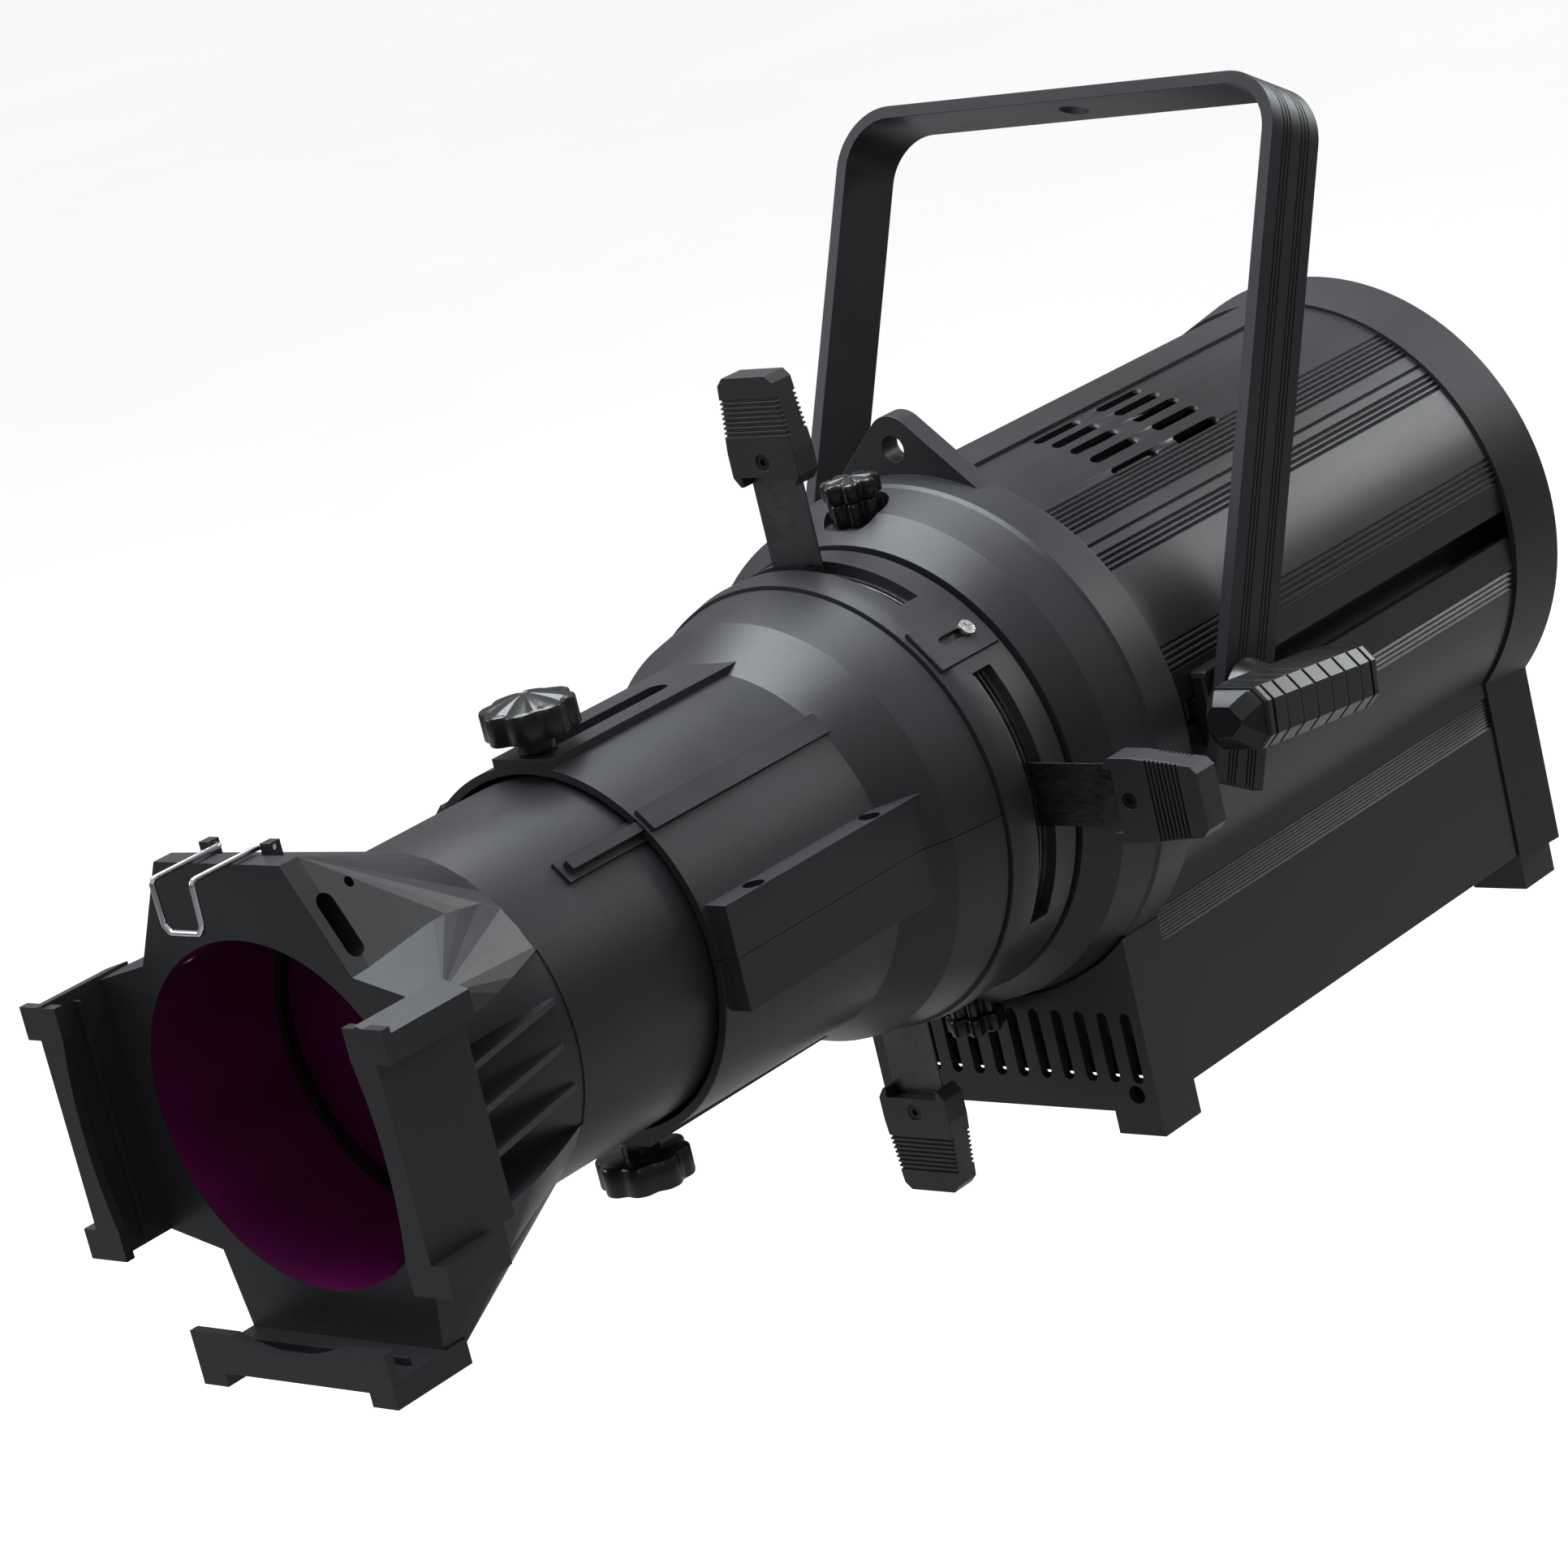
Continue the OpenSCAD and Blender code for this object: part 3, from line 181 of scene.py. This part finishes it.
# How far in from an edge the painted highlight on powder coat reaches, in metres, and how far its roughness
# swings.
EDGE_HIGHLIGHT_WIDTH = 0.0007
GLOSS_SWING = 0.06


def scaled(c, k):
    return tuple(min(1.0, v * k) for v in c)


def coated(name, base, rough, grain=1400, depth=0.00003, specular=0.5, edge_highlight_strength=0.10):
    """Powder coat: a fine orange-peel, cloudy gloss, and a painted highlight that lightens the edges a
    little.
    """
    m = Mat(name, base, rough, specular=specular)
    cloud = m.noise(9, 4)
    fine = m.noise(grain, 2, 0.6)
    speck = m.noise(grain * 0.23, 3, 0.6)
    # Painted highlight: a patchy mask along the edges, where the colour is lightened and the roughness
    # lowered.
    edge_highlight_mask = m.math("MULTIPLY", m.edge(EDGE_HIGHLIGHT_WIDTH), m.remap(m.noise(60, 4), 0.35, 0.7, 0.15, 1.0))
    tone = m.mix(m.remap(cloud, 0.3, 0.7, 0.0, 1.0), scaled(base, 0.82), scaled(base, 1.25))
    # The painted edge highlight lifts the colour towards 4.5 times the base.
    m.color_from(m.mix(m.math("MULTIPLY", edge_highlight_mask, edge_highlight_strength), tone, scaled(base, 4.5)))
    r = m.remap(m.math("ADD", m.math("MULTIPLY", cloud, 0.7), m.math("MULTIPLY", speck, 0.3)), 0.3, 0.7,
                rough - GLOSS_SWING, rough + GLOSS_SWING)
    m.rough_from(m.math("SUBTRACT", r, m.math("MULTIPLY", edge_highlight_mask, 0.08)))
    m.bump(speck, depth * 2.2, 0.6)
    m.bump(fine, depth, 0.8)
    return m


def moulded(name, base, rough, grain=2600, depth=0.00002, specular=0.5, coat=0.0):
    """Moulded plastic: finer grain, handled patches that are a little shinier."""
    m = Mat(name, base, rough, specular=specular, coat=coat)
    patch = m.noise(38, 4, 0.6)
    fine = m.noise(grain, 2)
    m.color_from(m.mix(m.remap(patch, 0.35, 0.7, 0.0, 1.0), scaled(base, 0.85), scaled(base, 1.3)))
    m.rough_from(m.remap(patch, 0.3, 0.7, rough + 0.07, rough - 0.06))
    m.bump(fine, depth, 0.7)
    return m


def metal(name, base, rough, brush=None, grain=900, depth=0.00001, swing=0.08):
    """Bare or plated metal. brush is the stretch of the grain along x, y and z."""
    m = Mat(name, base, rough, metallic=1.0)
    grain_value = m.noise(grain, 3, 0.6, stretch=brush or (1, 1, 1))
    stain = m.noise(45, 5, 0.6)
    m.color_from(m.mix(m.remap(stain, 0.35, 0.7, 0.0, 1.0), scaled(base, 0.8), scaled(base, 1.1)))
    m.rough_from(m.math("ADD", m.remap(grain_value, 0.3, 0.7, rough - swing, rough + swing),
                        m.remap(stain, 0.4, 0.8, 0.0, 0.1)))
    m.bump(grain_value, depth, 0.6)
    return m


body_black = coated("casting_black", (0.0150, 0.0155, 0.0175), 0.41, specular=0.30)
housing_black = coated("extrusion_black", (0.0125, 0.0130, 0.0148), 0.35, grain=1800, depth=0.00002,
                       specular=0.32)
# The yoke gets a weaker painted edge highlight.
yoke_black = coated("yoke_black", (0.0105, 0.0110, 0.0132), 0.42, specular=0.26, edge_highlight_strength=0.04)
knob_black = moulded("knob_black", (0.0085, 0.0088, 0.0095), 0.25, specular=0.34)
grip_black = moulded("grip_black", (0.0180, 0.0185, 0.0200), 0.38, specular=0.32)
inner_black = moulded("inner_black", (0.004, 0.004, 0.0045), 0.5, specular=0.25)
blade_steel = metal("blade_steel", (0.085, 0.085, 0.09), 0.34, brush=(0.2, 1, 1), swing=0.1)
plate_steel = metal("plate_steel", (0.42, 0.42, 0.43), 0.34, brush=(0.15, 1, 1))
zinc = metal("bright_zinc", (0.78, 0.77, 0.74), 0.24)
screw_black = metal("black_oxide", (0.035, 0.035, 0.038), 0.33)
chrome = metal("spring_wire", (0.62, 0.62, 0.64), 0.11, swing=0.04, depth=0.000004)
raw_aluminium = metal("raw_aluminium", (0.78, 0.79, 0.80), 0.33, brush=(1, 0.05, 1))
connector_metal = metal("nickel_plate", (0.6, 0.58, 0.55), 0.22)
circuit_board = moulded("circuit_board", (0.015, 0.14, 0.05), 0.32, grain=700, depth=0.00003)
phosphor = moulded("phosphor", (0.8, 0.62, 0.09), 0.45)
panel_film = moulded("panel_film", (0.012, 0.012, 0.014), 0.24, coat=0.3)
display = moulded("display_window", (0.01, 0.03, 0.05), 0.08, coat=1.0)
button_grey = moulded("button_grey", (0.30, 0.30, 0.31), 0.42)
socket_blue = moulded("socket_blue", (0.02, 0.10, 0.42), 0.38)
socket_grey = moulded("socket_grey", (0.42, 0.43, 0.44), 0.4)


# The bore in front of the lens, where a painted violet reflection of the lens coating lies. In metres: its
# radius, and where it starts behind the holder's edge.
BORE_R = 0.0686
BORE_START = 0.0285


def tube_material():
    """The lens tube's paint, with a painted violet reflection of the lens coating on the bore in front of the
    lens.
    """
    m = coated("tube_black", (0.0150, 0.0155, 0.0175), 0.41, specular=0.30)
    sep = m.n.new("ShaderNodeSeparateXYZ")
    m.link(m.coord, sep.inputs[0])
    x, y, z = (sep.outputs[i] for i in range(3))
    dz = m.math("SUBTRACT", z, AXIS_Z)
    radius = m.math("SQRT", m.math("ADD", m.math("MULTIPLY", x, x), m.math("MULTIPLY", dz, dz)))
    lens_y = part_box("front_lens")[1].y
    in_bore = m.math("MULTIPLY", m.math("LESS_THAN", radius, BORE_R), m.math("LESS_THAN", y, lens_y))
    in_bore = m.math("MULTIPLY", in_bore, m.math("GREATER_THAN", y, FRONT_Y + BORE_START))
    paint = m.bsdf.inputs["Base Color"].links[0].from_socket
    streak = m.noise(16, 3, 0.5, stretch=(1.0, 0.25, 1.0))
    # Painted reflection: the bore walls are coloured with the lens coating's violet, in streaks.
    violet = m.mix(m.remap(streak, 0.35, 0.65, 0.0, 1.0), (0.040, 0.0006, 0.025), (0.085, 0.002, 0.052))
    m.color_from(m.mix(in_bore, paint, violet))
    return m


def lens_material(name, tint, rim):
    """Coated glass: clear to look through, with a coloured reflection that is stronger at a slant."""
    m = Mat(name, tint, 0.04, specular=0.5)
    out = [n for n in m.n if n.type == "OUTPUT_MATERIAL"][0]
    clear = m.n.new("ShaderNodeBsdfTransparent")
    clear.inputs["Color"].default_value = (*rim, 1)
    gloss = m.bsdf
    film = m.noise(14, 3)
    m.color_from(m.mix(m.remap(film, 0.3, 0.7, 0.0, 1.0), scaled(tint, 0.8), scaled(tint, 1.2)))
    m.rough_from(m.remap(m.noise(55, 4), 0.3, 0.7, 0.03, 0.07))
    facing = m.n.new("ShaderNodeLayerWeight")
    facing.inputs["Blend"].default_value = 0.35
    mix = m.n.new("ShaderNodeMixShader")
    m.link(m.remap(facing.outputs["Facing"], 0.0, 1.0, 0.45, 0.95), mix.inputs[0])
    m.link(clear.outputs[0], mix.inputs[1])
    m.link(gloss.outputs[0], mix.inputs[2])
    m.link(mix.outputs[0], out.inputs["Surface"])
    return m


tube_black = tube_material()
lens_violet = lens_material("lens_coating", (0.09, 0.002, 0.055), (0.75, 0.35, 0.7))
lens_clear = lens_material("lens_clear", (0.05, 0.05, 0.055), (0.85, 0.88, 0.9))


# ---------- mesh tools ----------
BEVEL_SEGMENTS = 2


def new_object(name, verts, faces, mat, body, smooth=30.0, bevel=0.0, replaces=()):
    """A modelled piece: merges doubled points, gives it a material and a body."""
    mesh = bpy.data.meshes.new(name)
    mesh.from_pydata([tuple(v) for v in verts], [], faces)
    mesh.validate()
    bm = bmesh.new()
    bm.from_mesh(mesh)
    bmesh.ops.remove_doubles(bm, verts=bm.verts, dist=1e-6)
    bmesh.ops.recalc_face_normals(bm, faces=bm.faces)
    bm.to_mesh(mesh)
    bm.free()
    obj = bpy.data.objects.new(name, mesh)
    bpy.context.scene.collection.objects.link(obj)
    mesh.materials.append(mat.m)
    soften(obj, smooth, bevel)
    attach(obj, body)
    if replaces:
        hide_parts(*replaces)


def soften(obj, smooth, bevel):
    """Smooth shading below an angle in degrees, and a small bevel, in metres, on the edges above it."""
    for p in obj.data.polygons:
        p.use_smooth = True
    obj.data.set_sharp_from_angle(angle=math.radians(smooth))
    if bevel > 0:
        mod = obj.modifiers.new("edges", "BEVEL")
        mod.width = bevel
        mod.segments = BEVEL_SEGMENTS
        mod.limit_method = "ANGLE"
        mod.angle_limit = math.radians(smooth)
        mod.harden_normals = True
        mod.use_clamp_overlap = True


class Build:
    """Collects rings of points into one mesh."""

    def __init__(self):
        self.v = []
        self.f = []

    def ring(self, points):
        start = len(self.v)
        self.v.extend(points)
        return list(range(start, len(self.v)))

    def bridge(self, a, b):
        n = len(a)
        for i in range(n):
            j = (i + 1) % n
            self.f.append((a[i], a[j], b[j], b[i]))

    def cap(self, a):
        self.f.append(tuple(a))

    def loft(self, rings):
        ids = [self.ring(r) for r in rings]
        for a, b in zip(ids, ids[1:]):
            self.bridge(a, b)
        self.cap(ids[0][::-1])
        self.cap(ids[-1])


# Shares of the radius at which a knob's crown has its rings.
CROWN_STEPS = (0.93, 0.82, 0.66, 0.48, 0.30, 0.15, 0.12)


def knob(name, node, body, up, r, lobes, tiers, dome, flute, neck, neck_r):
    """A lobed knob on its stud, in mm above the axis. tiers are (z0, z1, radius, dent, turn); up is 1 or -1.

    dome is how far the crown rises, flute how deep its valleys are. neck and neck_r size the collar below."""
    lo, hi = mm_box(node)
    cy = (lo.y + hi.y) / 2
    b = Build()
    steps = lobes * 16
    circle_sides = 40

    def point(rad, ang, z):
        return at(rad * math.cos(ang), cy + rad * math.sin(ang), up * z)

    def outline(i, radius, dent, turn):
        ang = 2 * math.pi * i / steps
        wave = 0.5 - 0.5 * math.cos(lobes * (ang + turn))
        return ang, radius - dent * wave ** 1.6, wave

    for k, (z0, z1, radius, dent, turn) in enumerate(tiers):
        last = k == len(tiers) - 1
        rings = []
        for inset, z in ((1.6, z0), (0.5, z0 + 0.25), (0.0, z0 + 1.0),
                         (0.0, z1 - 1.3), (0.35, z1 - 0.45), (1.2, z1)):
            edge = [outline(i, radius, dent, turn) for i in range(steps)]
            rings.append([point(rad - inset, ang, z) for ang, rad, wave in edge])
        if last:
            for part in CROWN_STEPS:
                ring = []
                for i in range(steps):
                    ang, rr, wave = outline(i, radius, dent * min(1.0, part * 1.15), turn)
                    crown = dome * (1 - part ** 1.4)
                    valley = flute * wave ** 2 * part
                    z = z1 + crown - valley + (-0.4 if part == CROWN_STEPS[-1] else 0.0)
                    ring.append(point((rr - 1.2) * part, ang, z))
                rings.append(ring)
        b.loft(rings)
    stud_r = 4.0 if r > 15 else 3.0
    base = min(abs(lo.z), abs(hi.z))
    seat = tiers[0][0]

    def circle(rad, z):
        return [point(rad, 2 * math.pi * i / circle_sides, z) for i in range(circle_sides)]

    b.loft([circle(stud_r, base), circle(stud_r, seat + 1)])
    b.loft([circle(neck_r - 0.4, seat - neck), circle(neck_r, seat - neck + 0.4), circle(neck_r, seat - 1.0),
            circle(neck_r - 0.4, seat + 0.4)])
    new_object(name, b.v, b.f, knob_black, body, smooth=38, replaces=(node,))


def focus_knobs():
    for name, up in (("top_focus_knob", 1), ("bottom_focus_knob", -1)):
        lo, hi = mm_box(name)
        top = max(abs(lo.z), abs(hi.z))
        r = (hi.x - lo.x) / 2
        knob(name.replace("knob", "star"), name, name.replace("_knob", ""), up, r, 8,
             [(top - 16, top - 3.8, r, 2.0, 0.2)], 3.7, 1.0, 6.5, 7.5)


def lock_knobs():
    for name, up in (("top_lock_knob", 1), ("bottom_lock_knob", -1)):
        lo, hi = mm_box(name)
        top = max(abs(lo.z), abs(hi.z))
        knob(name.replace("knob", "star"), name, name.replace("_knob", ""), up, 12.5, 7,
             [(top - 19, top - 9.2, 11.0, 3.2, 0.0), (top - 9, top - 1.2, 12.5, 3.4, 0.0)],
             1.1, 1.2, 0.4, 6.0)


def fillet(points, radius, steps=6):
    """Rounds the corners of a path."""
    out = [points[0]]
    for a, b, c in zip(points, points[1:], points[2:]):
        u, v = (a - b).normalized(), (c - b).normalized()
        half = u.angle(v) / 2
        back = min(radius / math.tan(half), (a - b).length * 0.45, (c - b).length * 0.45)
        p, q = b + u * back, b + v * back
        for i in range(steps + 1):
            t = i / steps
            out.append(p * (1 - t) ** 2 + b * 2 * t * (1 - t) + q * t * t)
    out.append(points[-1])
    return out


def tube(path, radius, sides=16):
    b = Build()
    rings = []
    normal = None
    for i, p in enumerate(path):
        d = (path[min(i + 1, len(path) - 1)] - path[max(i - 1, 0)]).normalized()
        if normal is None:
            normal = d.orthogonal().normalized()
        normal = (normal - d * normal.dot(d)).normalized()
        side = d.cross(normal)
        turns = [2 * math.pi * k / sides for k in range(sides)]
        rings.append([p + (normal * math.cos(t) + side * math.sin(t)) * radius for t in turns])
    b.loft(rings)
    return b


def wire_clip():
    lo, hi = mm_box("frame_clip")
    r = 1.2
    z1, z0 = hi.z - r, lo.z + r
    y1, y0 = hi.y - r, lo.y + r
    pin = hi.x
    pts = [(-pin, y1, z1), (-10.5, y1, z1), (-10.5, y0, z1), (-10.0, y0, z0 + 3), (-7.5, y0, z0),
           (7.5, y0, z0), (10.0, y0, z0 + 3), (10.5, y0, z1), (10.5, y1, z1), (pin, y1, z1)]
    path = fillet([at(*p) for p in pts], 0.0022)
    b = tube(path, r * MM)
    new_object("clip_wire", b.v, b.f, chrome, "clip", smooth=60, replaces=("frame_clip",))


# The T-handle's bar: its depth across and half its length, in mm, and its lean at rest, in degrees.
HANDLE_DEPTH = 31
HANDLE_HALF = 45.0
HANDLE_LEAN = -7


def handle():
    """The T-handle: hub, octagonal bar with full grooves at its ends and short ones between."""
    pivot = JOINTS["tilt_handle_turn"]["pos_m"]
    tilt = Matrix.Rotation(math.radians(HANDLE_LEAN), 3, "X")
    centre = Vector(pivot)
    lo, hi = mm_box("tilt_handle")
    x_out = hi.x
    x0 = x_out - HANDLE_DEPTH
    half = HANDLE_HALF

    def place(x, s, t):
        return Vector((x * MM, 0, 0)) + centre + tilt @ Vector((0, s * MM, t * MM))

    def section(s, full, short):
        a = abs(s)
        xi = x0 + max(0.0, (a - 30) / (half - 30)) * 6
        xo = x_out - max(0.0, (a - 37) / (half - 37)) ** 1.3 * 8
        t = 12.5 - max(0.0, (a - 38) / (half - 38)) ** 1.4 * 6.5
        c = 5.5
        k = max(full, short) * 0.75
        nick = max(full, short * 0.2)
        pts = [(xi, -t + 3.5), (xi, t - 3.5), (xi + 3.5, t - full), (xo - c - k, t - nick),
               (xo - c * 0.5 - k, t - c * 0.5 - k), (xo - nick, t - c - k),
               (xo - nick, -t + c + k), (xo - c * 0.5 - k, -t + c * 0.5 + k),
               (xo - c - k, -t + nick), (xi + 3.5, -t + full)]
        return [place(x, s, t) for x, t in pts]

    stations = [(s, 0, 0) for s in (-half, -42.5, half, 42.5, -37, 37, -19, 19)]
    for s in (-39.0, -33.5, 33.5, 39.0):
        for d, g in ((-0.8, 0), (-0.55, 0.9), (0.55, 0.9), (0.8, 0)):
            stations.append((s + d, g, 0))
    for s in (-25.5, -15.5, -5.2, 5.2, 15.5, 25.5):
        for d, g in ((-0.8, 0), (-0.55, 1.0), (0.55, 1.0), (0.8, 0)):
            stations.append((s + d, 0, g))
    stations.sort()
    b = Build()
    b.loft([section(*s) for s in stations])
    leg = mm_box("yoke_bar")[1].x
    hub = [(leg + 0.3, 14.0), (leg + 0.3, 15.2), (leg + 1.0, 15.8), (leg + 8, 15.4), (leg + 14, 14.8),
           (x0 + 3, 14.4), (x0 + 6, 13.0)]

    def circle(x, rad, sides, squash=1.0):
        turns = [2 * math.pi * i / sides for i in range(sides)]
        return [place(x, rad * math.cos(t), rad * math.sin(t) * squash) for t in turns]

    b.loft([circle(x, rad, 64, 0.86 if x > x0 - 2 else 1.0) for x, rad in hub])
    b.loft([circle(x, 5, 32) for x in (lo.x, leg + 2)])
    new_object("tilt_handle_moulded", b.v, b.f, knob_black, "handle", smooth=22, bevel=0.0003,
               replaces=("tilt_handle",))


# ---------- CAD nodes that keep their shape ----------
# Edges sharper than this, in degrees, are bevelled; the merge distance is in metres.
KEEP_ANGLE = 14.0
WELD = 0.00001


def keep(node, mat, bevel=0.0):
    obj = frame["nodes"][node]
    obj.data.materials.clear()
    obj.data.materials.append(mat.m)
    weld = obj.modifiers.new("weld", "WELD")
    weld.merge_threshold = WELD
    if bevel > 0:
        mod = obj.modifiers.new("edges", "BEVEL")
        mod.width = bevel
        mod.segments = BEVEL_SEGMENTS
        mod.limit_method = "ANGLE"
        mod.angle_limit = math.radians(KEEP_ANGLE)
        mod.use_clamp_overlap = True
    flat = obj.modifiers.new("flat_faces", "WEIGHTED_NORMAL")
    flat.mode = "FACE_AREA"
    flat.weight = 80
    flat.keep_sharp = True


KEPT = {
    "yoke_bar": (yoke_black, 0.0006), "pivot_washers": (inner_black, 0),
    "pivot_blocks": (knob_black, 0.002), "left_pivot_bolt": (screw_black, 0.0004),
    "rear_housing": (housing_black, 0), "front_panel": (body_black, 0.0008),
    "collar_ring": (body_black, 0.0008), "rear_cap": (body_black, 0.0008),
    "heat_sink": (raw_aluminium, 0), "led_board": (circuit_board, 0), "led_emitter": (phosphor, 0),
    "optic_holder": (raw_aluminium, 0), "condenser_lens": (lens_clear, 0), "fan_frame": (inner_black, 0),
    "fan_rotor": (inner_black, 0), "driver_board": (circuit_board, 0), "power_supply": (plate_steel, 0),
    "control_panel": (panel_film, 0.0003), "display_window": (display, 0),
    "control_board": (circuit_board, 0), "menu_button": (button_grey, 0.0003),
    "up_button": (button_grey, 0.0003), "down_button": (button_grey, 0.0003),
    "enter_button": (button_grey, 0.0003), "power_inlet": (socket_blue, 0.0003),
    "power_outlet": (socket_grey, 0.0003), "data_connectors": (connector_metal, 0.0003),
    "fuse_holder": (grip_black, 0.0003), "cap_screws": (screw_black, 0.0002),
    "gate_ring": (body_black, 0.0005), "barrel_upper": (body_black, 0.0008),
    "barrel_lower": (body_black, 0.0008), "barrel_screws": (screw_black, 0.0002),
    "barrel_retainer": (plate_steel, 0), "aperture_plate": (plate_steel, 0),
    "shutter_spacers": (plate_steel, 0), "slot_cover": (body_black, 0.0004),
    "slot_cover_screw": (zinc, 0.0002), "lens_tube": (tube_black, 0.0007), "front_lens": (lens_violet, 0),
    "rear_lens": (lens_violet, 0), "lens_retainers": (inner_black, 0.0003),
}
for side in ("top", "right", "bottom", "left"):
    KEPT[side + "_shutter_blade"] = (blade_steel, 0)
    KEPT[side + "_shutter_grip"] = (grip_black, 0.0003)
    KEPT[side + "_shutter_screw"] = (screw_black, 0.0002)
for node, (mat, bevel) in KEPT.items():
    keep(node, mat, bevel)

focus_knobs()
lock_knobs()
wire_clip()
handle()


# ---------- stage ----------
def area(name, target, offset, size, power, color=(1, 1, 1)):
    light = bpy.data.lights.new(name, "AREA")
    light.shape = "RECTANGLE"
    light.size, light.size_y = size
    light.energy = power
    light.color = color
    obj = bpy.data.objects.new(name, light)
    bpy.context.scene.collection.objects.link(obj)
    obj.location = target + Vector(offset)
    obj.rotation_euler = (target - obj.location).to_track_quat("-Z", "Y").to_euler()


lo, hi = cad_box
middle = (lo + hi) / 2
floor_mesh = bpy.data.meshes.new("floor")
FLOOR_HALF = 30.0
FLOOR_DROP = 0.35
floor_z = lo.z - FLOOR_DROP
floor_corners = [(i * FLOOR_HALF, j * FLOOR_HALF, floor_z) for i, j in ((-1, -1), (1, -1), (1, 1), (-1, 1))]
floor_mesh.from_pydata(floor_corners, [], [(0, 1, 2, 3)])
floor = bpy.data.objects.new("floor", floor_mesh)
bpy.context.scene.collection.objects.link(floor)
floor_mat = Mat("pale_floor", (0.30, 0.30, 0.30), 0.9, specular=0.0)
paper = floor_mat.noise(2.0, 3)
paper = floor_mat.remap(paper, 0.3, 0.7, 0.0, 1.0)
floor_mat.color_from(floor_mat.mix(paper, (0.28, 0.28, 0.28), (0.31, 0.31, 0.31)))
seen = floor_mat.n.new("ShaderNodeLightPath").outputs["Is Camera Ray"]
floor_mat.set("Emission Color", (1, 1, 1, 1))
floor_mat.link(floor_mat.math("MULTIPLY", seen, 0.80), floor_mat.bsdf.inputs["Emission Strength"])
floor_mesh.materials.append(floor_mat.m)

area("overhead", middle, (-0.3, 0.1, 1.8), (1.5, 1.5), 95, (0.93, 0.97, 1.0))
area("back_strip", middle, (0.6, 2.1, 0.8), (1.6, 0.6), 26, (0.95, 0.98, 1.0))
area("left_front", middle, (-1.9, -1.1, 0.9), (0.9, 1.3), 18, (0.95, 0.98, 1.0))
area("right_front", middle, (1.5, -1.9, 1.0), (1.0, 1.0), 4)

world = bpy.data.worlds.new("studio")
bpy.context.scene.world = world
world.use_nodes = True
wn, wl = world.node_tree.nodes, world.node_tree.links
backdrop = wn["Background"]
backdrop.inputs["Color"].default_value = (1, 1, 1, 1)
backdrop.inputs["Strength"].default_value = 1.0
room = wn.new("ShaderNodeBackground")
room.inputs["Strength"].default_value = 1.0
direction = wn.new("ShaderNodeSeparateXYZ")
wl.new(wn.new("ShaderNodeTexCoord").outputs["Generated"], direction.inputs[0])
climb = wn.new("ShaderNodeMapRange")
climb.inputs["From Min"].default_value = -0.2
climb.inputs["From Max"].default_value = 0.9
climb.inputs["To Min"].default_value = 0.05
climb.inputs["To Max"].default_value = 0.60
wl.new(direction.outputs["Z"], climb.inputs["Value"])
wl.new(climb.outputs["Result"], room.inputs["Color"])
choose = wn.new("ShaderNodeMixShader")
wl.new(wn.new("ShaderNodeLightPath").outputs["Is Camera Ray"], choose.inputs[0])
wl.new(room.outputs[0], choose.inputs[1])
wl.new(backdrop.outputs[0], choose.inputs[2])
wl.new(choose.outputs[0], wn["World Output"].inputs["Surface"])
bpy.context.scene.view_settings.view_transform = "Standard"

# The camera stands at the photograph's viewing angle, tipped so that uprights lean to the left.
AZIMUTH, ELEVATION, ROLL = math.radians(43.984), math.radians(15.673), math.radians(13.70)
DISTANCE = 1.9592
LENS = 113.9
target = at(0, 316.3, 18.0)
level = math.cos(ELEVATION)
back = Vector((math.sin(AZIMUTH) * level, -math.cos(AZIMUTH) * level, math.sin(ELEVATION)))
cam_data = bpy.data.cameras.new("camera")
cam = bpy.data.objects.new("camera", cam_data)
bpy.context.scene.collection.objects.link(cam)
cam_data.lens = LENS
cam_data.sensor_width = 36.0
cam_data.clip_start, cam_data.clip_end = 0.05, 100.0
cam.rotation_mode = "QUATERNION"
cam.location = target + back * DISTANCE
cam.rotation_quaternion = (-back).to_track_quat("-Z", "Y") @ Matrix.Rotation(-ROLL, 3, "Z").to_quaternion()
bpy.context.scene.camera = cam
